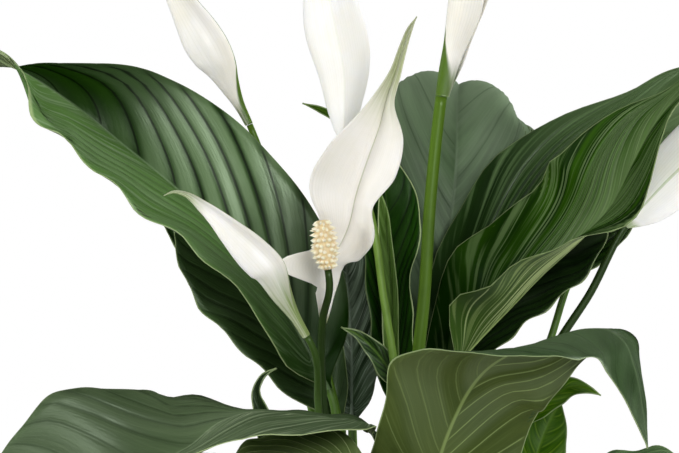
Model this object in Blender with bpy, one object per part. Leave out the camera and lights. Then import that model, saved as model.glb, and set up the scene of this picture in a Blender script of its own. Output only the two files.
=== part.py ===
"""Potted peace lily: leaves, flowers, soil and a plain pot. Metres, +Z up, the front towards -Y.

The origin is the middle of the pot's foot. Sizes below are in millimetres and become metres
where a mesh is made. A place on the plant is (across, up, toward): across to the right, up from
the pot's foot, and toward the front from the plant's own upright plane. Across and up are
measured as an eye in front sees them in that plane, and sighted() finds the real point.
"""

import math

import bmesh
import bpy
import numpy as np

MM = 0.001

# The eye that sees the plant from the front
EYE_DISTANCE = 1594
EYE_ACROSS = -23
EYE_UP = 546

# Pot
POT_HEIGHT = 150
POT_TOP_RADIUS = 85
POT_FOOT_RADIUS = 60
POT_WALL = 5
RIM_HEIGHT = 26
RIM_PROUD = 4
FLOOR_THICK = 8
ROUND_SIDES = 32

# Soil
SOIL_TOP = 138
SOIL_DOME = 5
SOIL_LUMP = 1.2
ROOT_DEPTH = 30
GAP = 0.3
HOLE_SIDES = 8

# Leaves and spathes
BLADE_THICK = 0.9
SPATHE_THICK = 0.8
COLUMNS = 4
VEIN_SWEEP = 0.14
RIB_HEIGHT = 0.55
SPADIX_BUMP = 0.2
SPADIX_FOOT = 0.1
SPADIX_SPAN = 0.83
SPADIX_PLUMP = 0.55
STALK_ROWS = 5
STEM_ROWS = 9
FOOT_RADIUS = 3.6
NECK_RADIUS = 2.5
TIP_WIDTH = 0.35
STRAIGHT_END = 7
ROOT_POINTS = 3


def clear_scene():
    for old in list(bpy.data.objects):
        bpy.data.objects.remove(old)


def plain_material(name, colour, roughness):
    material = bpy.data.materials.new(name)
    material.use_nodes = True
    shader = material.node_tree.nodes["Principled BSDF"]
    shader.inputs["Base Color"].default_value = (*colour, 1.0)
    shader.inputs["Roughness"].default_value = roughness
    shader.inputs["Metallic"].default_value = 0.0
    return material


def sighted(across, up, toward):
    """The real point, in mm, that the eye sees at (across, up) and that lies this far toward it."""
    share = toward / EYE_DISTANCE
    return np.array([
        across + (EYE_ACROSS - across) * share,
        -toward,
        up + (EYE_UP - up) * share,
    ])


def flowing(knots, values):
    """A function that reads a smooth curve through the values at the knots."""
    knots = np.asarray(knots, float)
    values = np.asarray(values, float)
    steps = np.diff(knots)
    slopes = np.diff(values, axis=0) / steps.reshape(-1, *[1] * (values.ndim - 1))
    tangents = np.empty_like(values)
    tangents[0], tangents[-1] = slopes[0], slopes[-1]
    for i in range(1, len(knots) - 1):
        before, after = steps[i - 1], steps[i]
        tangents[i] = (slopes[i - 1] * after + slopes[i] * before) / (before + after)

    def read(at):
        i = int(np.clip(np.searchsorted(knots, at) - 1, 0, len(steps) - 1))
        s = (at - knots[i]) / steps[i]
        rise, run = values[i + 1] - values[i], steps[i]
        return (values[i] + rise * (3 - 2 * s) * s * s
                + tangents[i] * run * s * (1 - s) ** 2 - tangents[i + 1] * run * s * s * (1 - s))

    return read


def unit(vector):
    return vector / np.linalg.norm(vector)


def smoothstep(x):
    x = min(max(x, 0.0), 1.0)
    return x * x * (3 - 2 * x)


class Route:
    """The middle line of a leaf, spathe or stem, with the directions across it at each place."""

    def __init__(self, points, sideways=None):
        self.points = np.asarray(points, float)
        lengths = np.linalg.norm(np.diff(self.points, axis=0), axis=1)
        self.knots = np.concatenate([[0], np.cumsum(lengths)])
        self.length = self.knots[-1]
        self.read = flowing(self.knots, self.points)
        self.sideways = sideways
        self.eye = sighted(EYE_ACROSS, EYE_UP, EYE_DISTANCE)

    def at(self, place):
        """Middle point, the way along, the way to the right and the way to the eye's side."""
        middle = self.read(place)
        ahead = unit(self.read(min(place + 1, self.length)) - self.read(max(place - 1, 0)))
        if self.sideways is None:
            right = np.cross(ahead, unit(self.eye - middle))
        else:
            right = self.sideways - ahead * np.dot(self.sideways, ahead)
        right = unit(right)
        return middle, ahead, right, np.cross(right, ahead)


def finished(name, build, material, sharp=180):
    """The object made from what build holds, shaded smooth up to the sharp angle."""
    mesh = bpy.data.meshes.new(name)
    bmesh.ops.recalc_face_normals(build, faces=build.faces)
    build.to_mesh(mesh)
    build.free()
    mesh.materials.append(material)
    mesh.shade_smooth()
    mesh.set_sharp_from_angle(angle=math.radians(sharp))
    part = bpy.data.objects.new(name, mesh)
    bpy.context.scene.collection.objects.link(part)
    return part


def skin(name, rings, material):
    """One closed body from rings of as many points each, all split into triangles the same way.

    A ring runs along the upper face and back along the lower face, so the two faces of a blade
    get the same triangles.
    """
    build = bmesh.new()
    made = [[build.verts.new(point * MM) for point in ring] for ring in rings]
    count = len(rings[0])
    half = count // 2
    for near, far in zip(made, made[1:]):
        for j in range(count):
            k = (j + 1) % count
            if j < half:
                build.faces.new((near[j], near[k], far[k]))
                build.faces.new((near[j], far[k], far[j]))
            else:
                build.faces.new((near[j], near[k], far[j]))
                build.faces.new((near[k], far[k], far[j]))
    for ring in (made[0], made[-1]):
        for j in range(half - 1):
            a, b, c, d = ring[j], ring[j + 1], ring[count - 2 - j], ring[count - 1 - j]
            build.faces.new((a, b, c))
            build.faces.new((a, c, d))
    return finished(name, build, material)


def round_ring(frame, radius, face, columns=COLUMNS):
    """A stalk's ring, with its points in the same order as a blade's."""
    middle, _, right, front = frame
    turns = [math.pi * (1 - (j + 0.5) / (columns + 1)) for j in range(columns + 1)]
    turns += [-turn for turn in reversed(turns)]
    return np.array([
        middle + radius * (math.cos(a) * right + face * math.sin(a) * front) for a in turns
    ])


def half_section(width, turn, curl, share, side, right, front):
    """How far a point of one half stands off the midrib, and its face's direction.

    The half leaves the midrib turned toward the eye by turn, and bends by curl to its margin.
    """
    steps = 8
    offset = np.zeros(3)
    for step in range(steps):
        angle = math.radians(turn + curl * share * (step + 0.5) / steps)
        way = side * math.cos(angle) * right + math.sin(angle) * front
        offset = offset + way * width * share / steps
    angle = math.radians(turn + curl * share)
    facing = -side * math.sin(angle) * right + math.cos(angle) * front
    return offset, facing


class Blade:
    """A leaf's or spathe's thin blade, read anywhere between its foot, tip and margins."""

    def __init__(self, route, start, stations, face, thick, sweep, wave, waves, rib):
        self.route, self.start, self.face, self.thick = route, start, face, thick
        self.sweep, self.wave, self.waves, self.rib = sweep, wave, waves, rib
        self.span = route.length - start
        places = route.knots[-len(stations):]
        self.shape = flowing(places, [station[3:] for station in stations])

    def point(self, along, side, row):
        """Upper and lower point at this share of the blade's length and of its half width."""
        share = abs(side)
        along = along + self.sweep * share ** 1.5 * math.sin(math.pi * along)
        place = self.start + self.span * min(along, 1.0)
        middle, _, right, front = self.route.at(place)
        left_width, right_width, left_turn, right_turn, curl = self.shape(place)
        if side < 0:
            width, turn, sign = left_width, left_turn, -1
        else:
            width, turn, sign = right_width, right_turn, 1
        offset, facing = half_section(
            max(width, TIP_WIDTH), turn, curl, share, sign, right, front)
        if side == 0:
            tilt = math.radians((right_turn - left_turn) / 2)
            facing = math.cos(tilt) * front - math.sin(tilt) * right
        fade = math.sin(math.pi * min(max(along, 0), 1)) ** 0.5
        ripple = self.wave * fade * share ** 2 * math.sin(
            2 * math.pi * self.waves * along + sign * 1.1)
        ridge = self.rib * fade * (1 if row % 2 else -1) * math.sin(math.pi * share)
        centre = middle + offset + facing * (ripple + ridge)
        lift = self.face * facing * self.thick / 2
        return centre + lift, centre - lift

    def ring(self, along, row, columns=COLUMNS):
        sides = [2 * j / columns - 1 for j in range(columns + 1)]
        pairs = [self.point(along, side, row) for side in sides]
        return np.array([top for top, _ in pairs] + [low for _, low in reversed(pairs)])


def full_stations(stations):
    """Stations as (across, up, toward, left width, right width, left turn, right turn, curl)."""
    full = []
    for across, up, toward, width, left_turn, right_turn, *curl in stations:
        left, right = width if isinstance(width, tuple) else (width, width)
        full.append((across, up, toward, left, right, left_turn, right_turn, *(curl or [0])))
    return full


def root_points(root):
    """The lowest points of a stalk, upright in the soil."""
    across, toward = root
    heights = (SOIL_TOP - ROOT_DEPTH, SOIL_TOP - 4, SOIL_TOP + SOIL_DOME + 2)
    return [np.array([across, -toward, up]) for up in heights]


def stalk_places(route, end, rows):
    """Where a stalk's rings go: its foot, the top of the soil and evenly from there to its end."""
    surface = route.knots[ROOT_POINTS - 1]
    return [0.0] + [surface + (end - surface) * i / rows for i in range(rows + 1)]


def leaf(name, root, stalk, blade, rows, material, face=1, sideways=None,
         wave=2.0, waves=5, neck=NECK_RADIUS):
    """A stalk that stands in the soil and its blade, one piece.

    blade holds (across, up, toward, half width, left turn, right turn). A turn is how far that
    half is turned from the eye's plane toward the eye, in degrees, so its cosine is the share
    of its width that shows. face is 1 where the upper face shows at the foot, else -1.
    """
    stations = full_stations(blade)
    points = root_points(root) + [sighted(*p) for p in stalk] + [sighted(*s[:3]) for s in stations]
    route = Route(points, sideways)
    start = route.knots[-len(stations)]
    thin = Blade(route, start, stations, face, BLADE_THICK, VEIN_SWEEP, wave, waves, RIB_HEIGHT)
    rings = []
    for place in stalk_places(route, start, STALK_ROWS)[:-1]:
        radius = FOOT_RADIUS + (neck - FOOT_RADIUS) * smoothstep(place / start)
        rings.append(round_ring(route.at(place), radius, face))
    for row in range(rows + 1):
        along = row / rows
        opened = smoothstep(along / (1.6 / rows))
        spread = thin.ring(along, row)
        if opened < 1:
            round_one = round_ring(route.at(start + thin.span * along), neck, face)
            spread = round_one * (1 - opened) + spread * opened
        rings.append(spread)
    return skin(name, rings, material)


def stem(name, points, radii, material, sides=8):
    """A round stem through the points, from the soil to its top."""
    route = Route(points)
    rings = []
    for place in stalk_places(route, route.length, STEM_ROWS):
        radius = radii[0] + (radii[1] - radii[0]) * place / route.length
        rings.append(round_ring(route.at(place), radius, 1, sides // 2 - 1))
    return skin(name, rings, material)


def spathe(name, stations, rows, material, columns=6, wave=0.6):
    """The white bract of a flower, from its foot on the stem to its tip.

    It returns the middle of its foot and the way that it grows there.
    """
    full = full_stations(stations)
    route = Route([sighted(*s[:3]) for s in full])
    thin = Blade(route, 0, full, 1, SPATHE_THICK, 0, wave, 3, 0)
    rings = [thin.ring(row / rows, row, columns) for row in range(rows + 1)]
    skin(name, rings, material)
    return rings[0].mean(axis=0), route.at(0)[1]


def spadix(name, foot, tip, radius, material, rows=9, around=11):
    """The flower's cream spike, with a pointed bump on every cell of a net all over it."""
    ahead = unit(tip - foot)
    right = unit(np.cross(ahead, (0, -1, 0)))
    front = np.cross(right, ahead)
    length = np.linalg.norm(tip - foot)
    bump = radius * SPADIX_BUMP

    def place(up, turn, proud):
        swell = math.sin(math.pi * (SPADIX_FOOT + SPADIX_SPAN * up)) ** SPADIX_PLUMP
        body = (radius - bump) * swell
        outward = math.cos(turn) * right + math.sin(turn) * front
        return (foot + ahead * length * up + outward * (body + proud)) * MM

    build = bmesh.new()
    step = 2 * math.pi / around
    rings = []
    for row in range(rows + 1):
        shift = row * step / 2
        rings.append([build.verts.new(place(row / rows, j * step + shift, 0)) for j in range(around)])
    for row, (near, far) in enumerate(zip(rings, rings[1:])):
        for j in range(around):
            k = (j + 1) % around
            turn = (j + 0.75 + row / 2) * step
            peak = build.verts.new(place((row + 0.5) / rows, turn, bump))
            corners = (near[j], near[k], far[k], far[j])
            for a, b in zip(corners, corners[1:] + corners[:1]):
                build.faces.new((a, b, peak))
    for ring in (rings[0], rings[-1]):
        build.faces.new(ring)
    return finished(name, build, material)


def turned(name, profile, sides, material):
    """A body turned about the upright axis from (radius, height) points, the ends on the axis."""
    build = bmesh.new()
    rings = []
    for radius, height in profile:
        if radius == 0:
            rings.append([build.verts.new((0, 0, height * MM))])
            continue
        rings.append([
            build.verts.new((radius * MM * math.cos(2 * math.pi * j / sides),
                             radius * MM * math.sin(2 * math.pi * j / sides), height * MM))
            for j in range(sides)
        ])
    for near, far in zip(rings, rings[1:]):
        for j in range(sides):
            k = (j + 1) % sides
            corners = [near[j % len(near)], near[k % len(near)], far[k % len(far)], far[j % len(far)]]
            build.faces.new(list(dict.fromkeys(corners)))
    return finished(name, build, material, sharp=35)


def wall_radius(height):
    """The pot's outer radius below its rim, at a height over its foot."""
    lean = (POT_TOP_RADIUS - RIM_PROUD - POT_FOOT_RADIUS) / POT_HEIGHT
    return POT_FOOT_RADIUS + lean * height


def pot(material):
    rim_foot = POT_HEIGHT - RIM_HEIGHT
    profile = [
        (0, 0), (POT_FOOT_RADIUS - 2, 0), (wall_radius(3), 3),
        (wall_radius(rim_foot), rim_foot), (POT_TOP_RADIUS - 0.5, rim_foot + 0.5),
        (POT_TOP_RADIUS, rim_foot + 3), (POT_TOP_RADIUS, POT_HEIGHT - 2),
        (POT_TOP_RADIUS - 2, POT_HEIGHT), (POT_TOP_RADIUS - RIM_PROUD - POT_WALL + 2, POT_HEIGHT),
        (wall_radius(POT_HEIGHT) - POT_WALL, POT_HEIGHT - 2),
        (wall_radius(FLOOR_THICK) - POT_WALL, FLOOR_THICK), (0, FLOOR_THICK),
    ]
    return turned("pot", profile, ROUND_SIDES, material)


def soil(stalks, material):
    """The soil that fills the pot, with a plain upright hole for each stalk in it."""
    low = FLOOR_THICK + GAP
    edge = wall_radius(SOIL_TOP) - POT_WALL - GAP
    profile = [(0, low), (wall_radius(low) - POT_WALL - GAP, low), (edge, SOIL_TOP - 1)]
    for share in (0.86, 0.66, 0.42, 0.2):
        lump = SOIL_LUMP * math.sin(share * 23)
        profile.append((edge * share, SOIL_TOP + SOIL_DOME * (1 - share ** 2) + lump))
    profile.append((0, SOIL_TOP + SOIL_DOME))
    body = turned("soil", profile, ROUND_SIDES, material)
    for i, (across, toward, radius) in enumerate(stalks):
        foot = SOIL_TOP - ROOT_DEPTH - GAP
        top = SOIL_TOP + SOIL_DOME + 6
        bpy.ops.mesh.primitive_cylinder_add(
            vertices=HOLE_SIDES, radius=(radius + GAP) / math.cos(math.pi / HOLE_SIDES) * MM,
            depth=(top - foot) * MM,
            location=(across * MM, -toward * MM, (foot + top) / 2 * MM))
        cutter = bpy.context.object
        cutter.name = f"hole_cutter_{i}"
        cutter.hide_render = True
        cutter.display_type = "WIRE"
        cut = body.modifiers.new(f"hole_{i}", "BOOLEAN")
        cut.operation = "DIFFERENCE"
        cut.object = cutter
    return body


# Each leaf: where its stalk stands (across, toward), its stalk's points, and its blade's stations
LEAVES = {
    "leaf_upper_left": dict(
        root=(-22, 12), rows=22, colour="leaf", wave=2.5, waves=6,
        stalk=[(-27, 225, 12)],
        blade=[(-30, 300, 8, 4, 40, 0), (-41, 320, 4, 26, 50, -10), (-50, 336, 0, 40, 66, -18),
               (-71, 368, -8, 54, 72, -15), (-99, 402, -18, 59, 70, -10), (-131, 433, -25, 60, 65, 0),
               (-165, 461, -28, 54, 65, 0), (-197, 487, -24, 40, 58, -38), (-219, 502, -16, 22, 45, -70),
               (-231, 509, -10, 9, 88, -92), (-247, 517, -4, 8, 130, -135), (-270, 522, 0, 0, 150, -150)]),
    "leaf_left_shaded": dict(
        root=(-36, -14), rows=16, colour="leaf_shade",
        stalk=[(-29, 225, -22)],
        blade=[(-22, 278, -28, 4, 30, 0), (-41, 311, -36, (32, 26), 45, 0),
               (-61, 341, -44, (46, 38), 49, 5), (-86, 377, -52, (48, 44), 41, 0),
               (-110, 408, -56, 36, 46, -5), (-123, 424, -56, 18, 46, 0),
               (-130, 434, -54, 0, 46, 0)]),
    "leaf_lower_left": dict(
        root=(2, 36), rows=22, colour="leaf", wave=0.8, waves=5,
        stalk=[(6, 215, 40)],
        blade=[(7, 258, 40, 4, 70, -70), (-6, 276, 46, 12, 80, -82), (-29, 281, 70, (34, 22), 83, -85),
               (-55, 284, 84, (46, 36), 77, -88), (-82, 285, 92, 52, 74, -86), (-103, 277, 97, 57, 76, -65),
               (-121, 262, 100, 60, 86, -50), (-146, 250, 101, (62, 60), 88, -36),
               (-163, 244, 101, (64, 61), 84, -26), (-179, 239, 101, (66, 61), 75, -10),
               (-194, 234, 100, (61, 61), 68, -3), (-212, 228, 99, (54, 50), 60, 0),
               (-238, 219, 98, 30, 60, 0), (-256, 212, 97, 0, 60, 0)]),
    "leaf_front": dict(
        root=(26, 46), rows=24, colour="leaf", face=-1, wave=1.2, waves=5,
        stalk=[(31, 185, 52)],
        blade=[(35, 215, 56, 4, 0, 0), (38, 235, 60, 36, -5, -5), (44, 260, 68, (44, 49), 20, -15),
               (52, 281, 74, (47, 50), 22, -22), (60, 297, 78, (55, 49), 24, -23),
               (72, 313, 86, (54, 44), 50, -18), (86, 323, 95, (52, 42), 72, -16),
               (104, 330, 106, (50, 34), 88, -25), (121, 336, 116, (46, 26), 99, -45),
               (139, 340, 126, (42, 29), 110, -80), (152, 339, 132, (37, 28), 125, -95),
               (163, 331, 137, (31, 25), 129, -106), (169, 316, 140, (26, 20), 129, -104),
               (173, 300, 142, (19, 15), 122, -100), (176, 281, 143, (12, 9), 114, -101),
               (179, 261, 142, 0, 115, -101)]),
    "leaf_right": dict(
        root=(24, 0), rows=24, colour="leaf", wave=2.0, waves=6,
        stalk=[(30, 215, 2)],
        blade=[(42, 294, 0, 4, -20, 60), (52, 315, -2, 26, -30, 90), (65, 330, -4, 42, -30, 124),
               (88, 354, -6, 54, -15, 112), (110, 377, -6, 58, -36, 103), (133, 398, -4, 57, -36, 94),
               (154, 421, 0, 52, -20, 76), (167, 447, 4, 42, -20, 67), (180, 471, 8, 28, -36, 75),
               (196, 491, 12, 16, -60, 75), (214, 506, 15, 8, -60, 75), (231, 514, 17, 0, -60, 75)]),
    "leaf_right_behind": dict(
        root=(30, -34), rows=18, colour="leaf_shade",
        stalk=[(37, 215, -46)],
        blade=[(46, 294, -54, 4, -20, 0), (52, 330, -58, 26, -30, 0), (68, 372, -64, 42, -38, -5),
               (94, 411, -68, 49, -36, -5), (123, 441, -70, 47, -34, -5), (153, 467, -68, 38, -52, -5),
               (179, 486, -64, 26, -52, -5), (205, 504, -60, 13, -50, 0), (224, 515, -58, 0, -50, 0)]),
    "leaf_right_under": dict(
        root=(38, -18), rows=14, colour="leaf_shade",
        stalk=[(44, 215, -24)],
        blade=[(56, 298, -30, 4, 0, 40), (64, 325, -32, 18, -10, 50), (80, 348, -35, 28, -10, 55),
               (102, 368, -38, 31, -10, 55), (124, 389, -40, 30, -10, 50), (142, 407, -41, 18, -10, 50),
               (153, 419, -41, 0, -10, 50)]),
    "leaf_back_centre": dict(
        root=(8, -50), rows=20, colour="leaf", sideways=(1, 0, 0), wave=1.5, waves=5,
        stalk=[(16, 215, -66)],
        blade=[(32, 281, -84, 4, 10, 10), (40, 333, -96, 34, 12, 12), (46, 384, -106, 52, 12, 12),
               (51, 424, -112, 60, 10, 10), (53, 462, -120, 60, 28, 18, -45),
               (53, 486, -132, 56, 45, 25, -90), (54, 498, -150, 50, 50, 26, -100),
               (54, 496, -176, 38, 40, 20, -90), (55, 484, -198, 20, 10, 0, -50),
               (56, 470, -214, 0, -20, -20)]),
    "leaf_inner": dict(
        root=(12, -26), rows=14, colour="leaf_shade", sideways=(1, 0, 0), wave=1.5, waves=4,
        stalk=[(14, 215, -34)],
        blade=[(16, 281, -38, 4, 30, 30), (14, 320, -42, 22, 45, 55), (12, 366, -46, 27, 50, 66),
               (9, 411, -46, 28, 50, 42), (6, 437, -42, 17, 50, 10), (5, 452, -38, 7, 40, 10),
               (4, 460, -36, 0, 40, 10)]),
    "leaf_upright_dark": dict(
        root=(-8, -34), rows=14, colour="leaf_shade", sideways=(1, 0, 0),
        stalk=[(-13, 215, -44)],
        blade=[(-15, 275, -52, 4, 10, 20), (-15, 304, -58, 20, 15, 35), (-15, 333, -64, 30, 15, 40),
               (-17, 362, -67, 30, 10, 40), (-19, 388, -68, 20, 10, 45), (-21, 408, -66, 9, 10, 45),
               (-22, 420, -64, 0, 10, 45)]),
    "leaf_small_centre": dict(
        root=(24, 14), rows=8, colour="leaf", wave=0.6, waves=3, neck=1.6,
        stalk=[(23, 230, 15)],
        blade=[(16, 299, 16, 3, 20, 20), (8, 315, 18, 8.5, 30, 30), (-1, 327, 20, 6.5, 30, 30),
               (-11, 336, 20, 3.5, 30, 30), (-22, 341, 20, 0, 30, 30)]),
    "leaf_young_rolled": dict(
        root=(16, -10), rows=12, colour="leaf_young", sideways=(1, 0, 0), wave=0, neck=2.0,
        stalk=[(15, 230, -15)],
        blade=[(14, 294, -18, 4, 50, 60), (12, 330, -19, 10, 50, 70), (11, 366, -20, 11, 50, 70),
               (8, 398, -20, 9, 50, 70), (5, 421, -19, 4.5, 50, 60), (3, 431, -18, 0, 50, 60)]),
    "leaf_young_tip": dict(
        root=(-8, -54), rows=12, colour="leaf_young", wave=0, neck=1.8,
        stalk=[(-12, 215, -68), (-15, 360, -80)],
        blade=[(-15, 385, -80, 4, 50, 50), (-13, 431, -80, 9, 55, 55), (-16, 463, -80, 7, 55, 55),
               (-24, 476, -81, 4.5, 55, 50), (-36, 483, -82, 3, 50, 40), (-47, 487, -83, 0, 50, 40)]),
    "leaf_furled_left": dict(
        root=(-38, 34), rows=12, colour="leaf_shade", wave=0.5, waves=3, neck=2.0,
        stalk=[(-49, 205, 28)],
        blade=[(-60, 245, 26, 5, 40, 50), (-69, 271, 25, 12, 50, 55), (-75, 289, 24, 8, 55, 60),
               (-77, 301, 24, 5, 55, 60), (-73, 309, 25, 2.5, 50, 50), (-64, 314, 26, 0, 50, 50)]),
    "leaf_small_right": dict(
        root=(40, 16), rows=8, colour="leaf_young", wave=0.5, waves=3, neck=1.6,
        stalk=[(62, 210, 22)],
        blade=[(100, 277, 34, 3, 20, 20), (117, 296, 40, 9, 20, 30), (130, 302, 43, 7, 30, 30),
               (140, 300, 45, 3, 30, 30), (148, 296, 46, 0, 30, 30)]),
    "leaf_young_right": dict(
        root=(46, 32), rows=10, colour="leaf_young", wave=0.8, waves=3, neck=2.0,
        stalk=[(68, 190, 28)],
        blade=[(92, 226, 22, 5, 0, 10), (104, 249, 22, 18, 5, 10), (110, 268, 22, 17, 5, 15),
               (116, 282, 22, 11, 5, 15), (122, 293, 22, 0, 5, 15)]),
    "leaf_low_right": dict(
        root=(46, -6), rows=14, colour="leaf", sideways=(0, -1, 0.15),
        stalk=[(84, 200, -4)],
        blade=[(116, 224, 0, 4, 0, 0), (140, 240, 4, 30, 10, 5), (170, 250, 8, 42, 12, 0),
               (205, 249, 10, 40, 10, -5), (236, 234, 10, 24, 5, -5), (258, 208, 8, 0, 0, 0)]),
    "leaf_low_front": dict(
        root=(8, 58), rows=14, colour="leaf", face=-1,
        stalk=[(-2, 195, 66)],
        blade=[(-9, 230, 72, 4, 20, -20), (-21, 247, 80, 26, 40, -44), (-41, 254, 88, 36, 50, -58),
               (-63, 252, 96, 36, 50, -58), (-84, 240, 101, 28, 50, -54), (-100, 225, 104, 14, 50, -60),
               (-109, 212, 105, 0, 50, -60)]),
    "leaf_back_left": dict(
        root=(-24, -34), rows=13, colour="leaf",
        stalk=[(-33, 225, -58)],
        blade=[(-45, 300, -92, 4, 20, -20), (-62, 340, -106, 30, 40, -30), (-84, 378, -120, 42, 50, -35),
               (-110, 412, -134, 42, 50, -35), (-132, 434, -146, 30, 50, -35),
               (-150, 446, -154, 14, 50, -35), (-162, 450, -158, 0, 50, -35)]),
    "leaf_back_right": dict(
        root=(44, -46), rows=13, colour="leaf",
        stalk=[(76, 235, -60), (115, 334, -86)],
        blade=[(127, 372, -98, 4, -20, 20), (142, 400, -108, 22, -30, 30), (152, 430, -118, 30, -35, 30),
               (160, 456, -128, 28, -35, 30), (168, 474, -136, 16, -35, 30),
               (176, 486, -142, 0, -35, 30)]),
    "leaf_back_far": dict(
        root=(22, -62), rows=13, colour="leaf", sideways=(1, 0, 0),
        stalk=[(34, 215, -92)],
        blade=[(46, 262, -126, 4, 0, 0), (48, 286, -150, 28, -5, -5), (50, 300, -178, 44, -10, -10),
               (50, 296, -208, 44, -12, -12), (50, 274, -234, 30, -12, -12), (50, 248, -250, 14, -10, -10),
               (50, 232, -256, 0, -10, -10)]),
    "leaf_back_low_left": dict(
        root=(-46, -32), rows=13, colour="leaf", sideways=(0.55, 0.75, 0),
        stalk=[(-60, 200, -60)],
        blade=[(-78, 232, -86, 4, 0, 0), (-96, 250, -108, 28, -10, -10), (-120, 258, -136, 42, -12, -12),
               (-146, 250, -162, 40, -12, -12), (-168, 228, -184, 26, -12, -12),
               (-182, 200, -198, 0, -10, -10)]),
    "leaf_back_low_right": dict(
        root=(58, -30), rows=13, colour="leaf", sideways=(0.6, -0.75, 0),
        stalk=[(80, 195, -60)],
        blade=[(102, 224, -88, 4, 0, 0), (122, 240, -112, 28, -8, -8), (150, 246, -138, 42, -10, -10),
               (178, 236, -162, 40, -10, -10), (200, 212, -182, 24, -10, -10),
               (212, 186, -194, 0, -10, -10)]),
    "leaf_low_left": dict(
        root=(-52, 6), rows=14, colour="leaf", sideways=(0.1, 1, 0),
        stalk=[(-78, 190, 6)],
        blade=[(-104, 214, 4, 4, 0, 0), (-126, 228, 2, 26, -8, -8), (-156, 234, -2, 38, -10, -10),
               (-188, 226, -6, 36, -10, -10), (-212, 206, -10, 22, -10, -10),
               (-226, 184, -12, 0, -10, -10)]),
}

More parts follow.
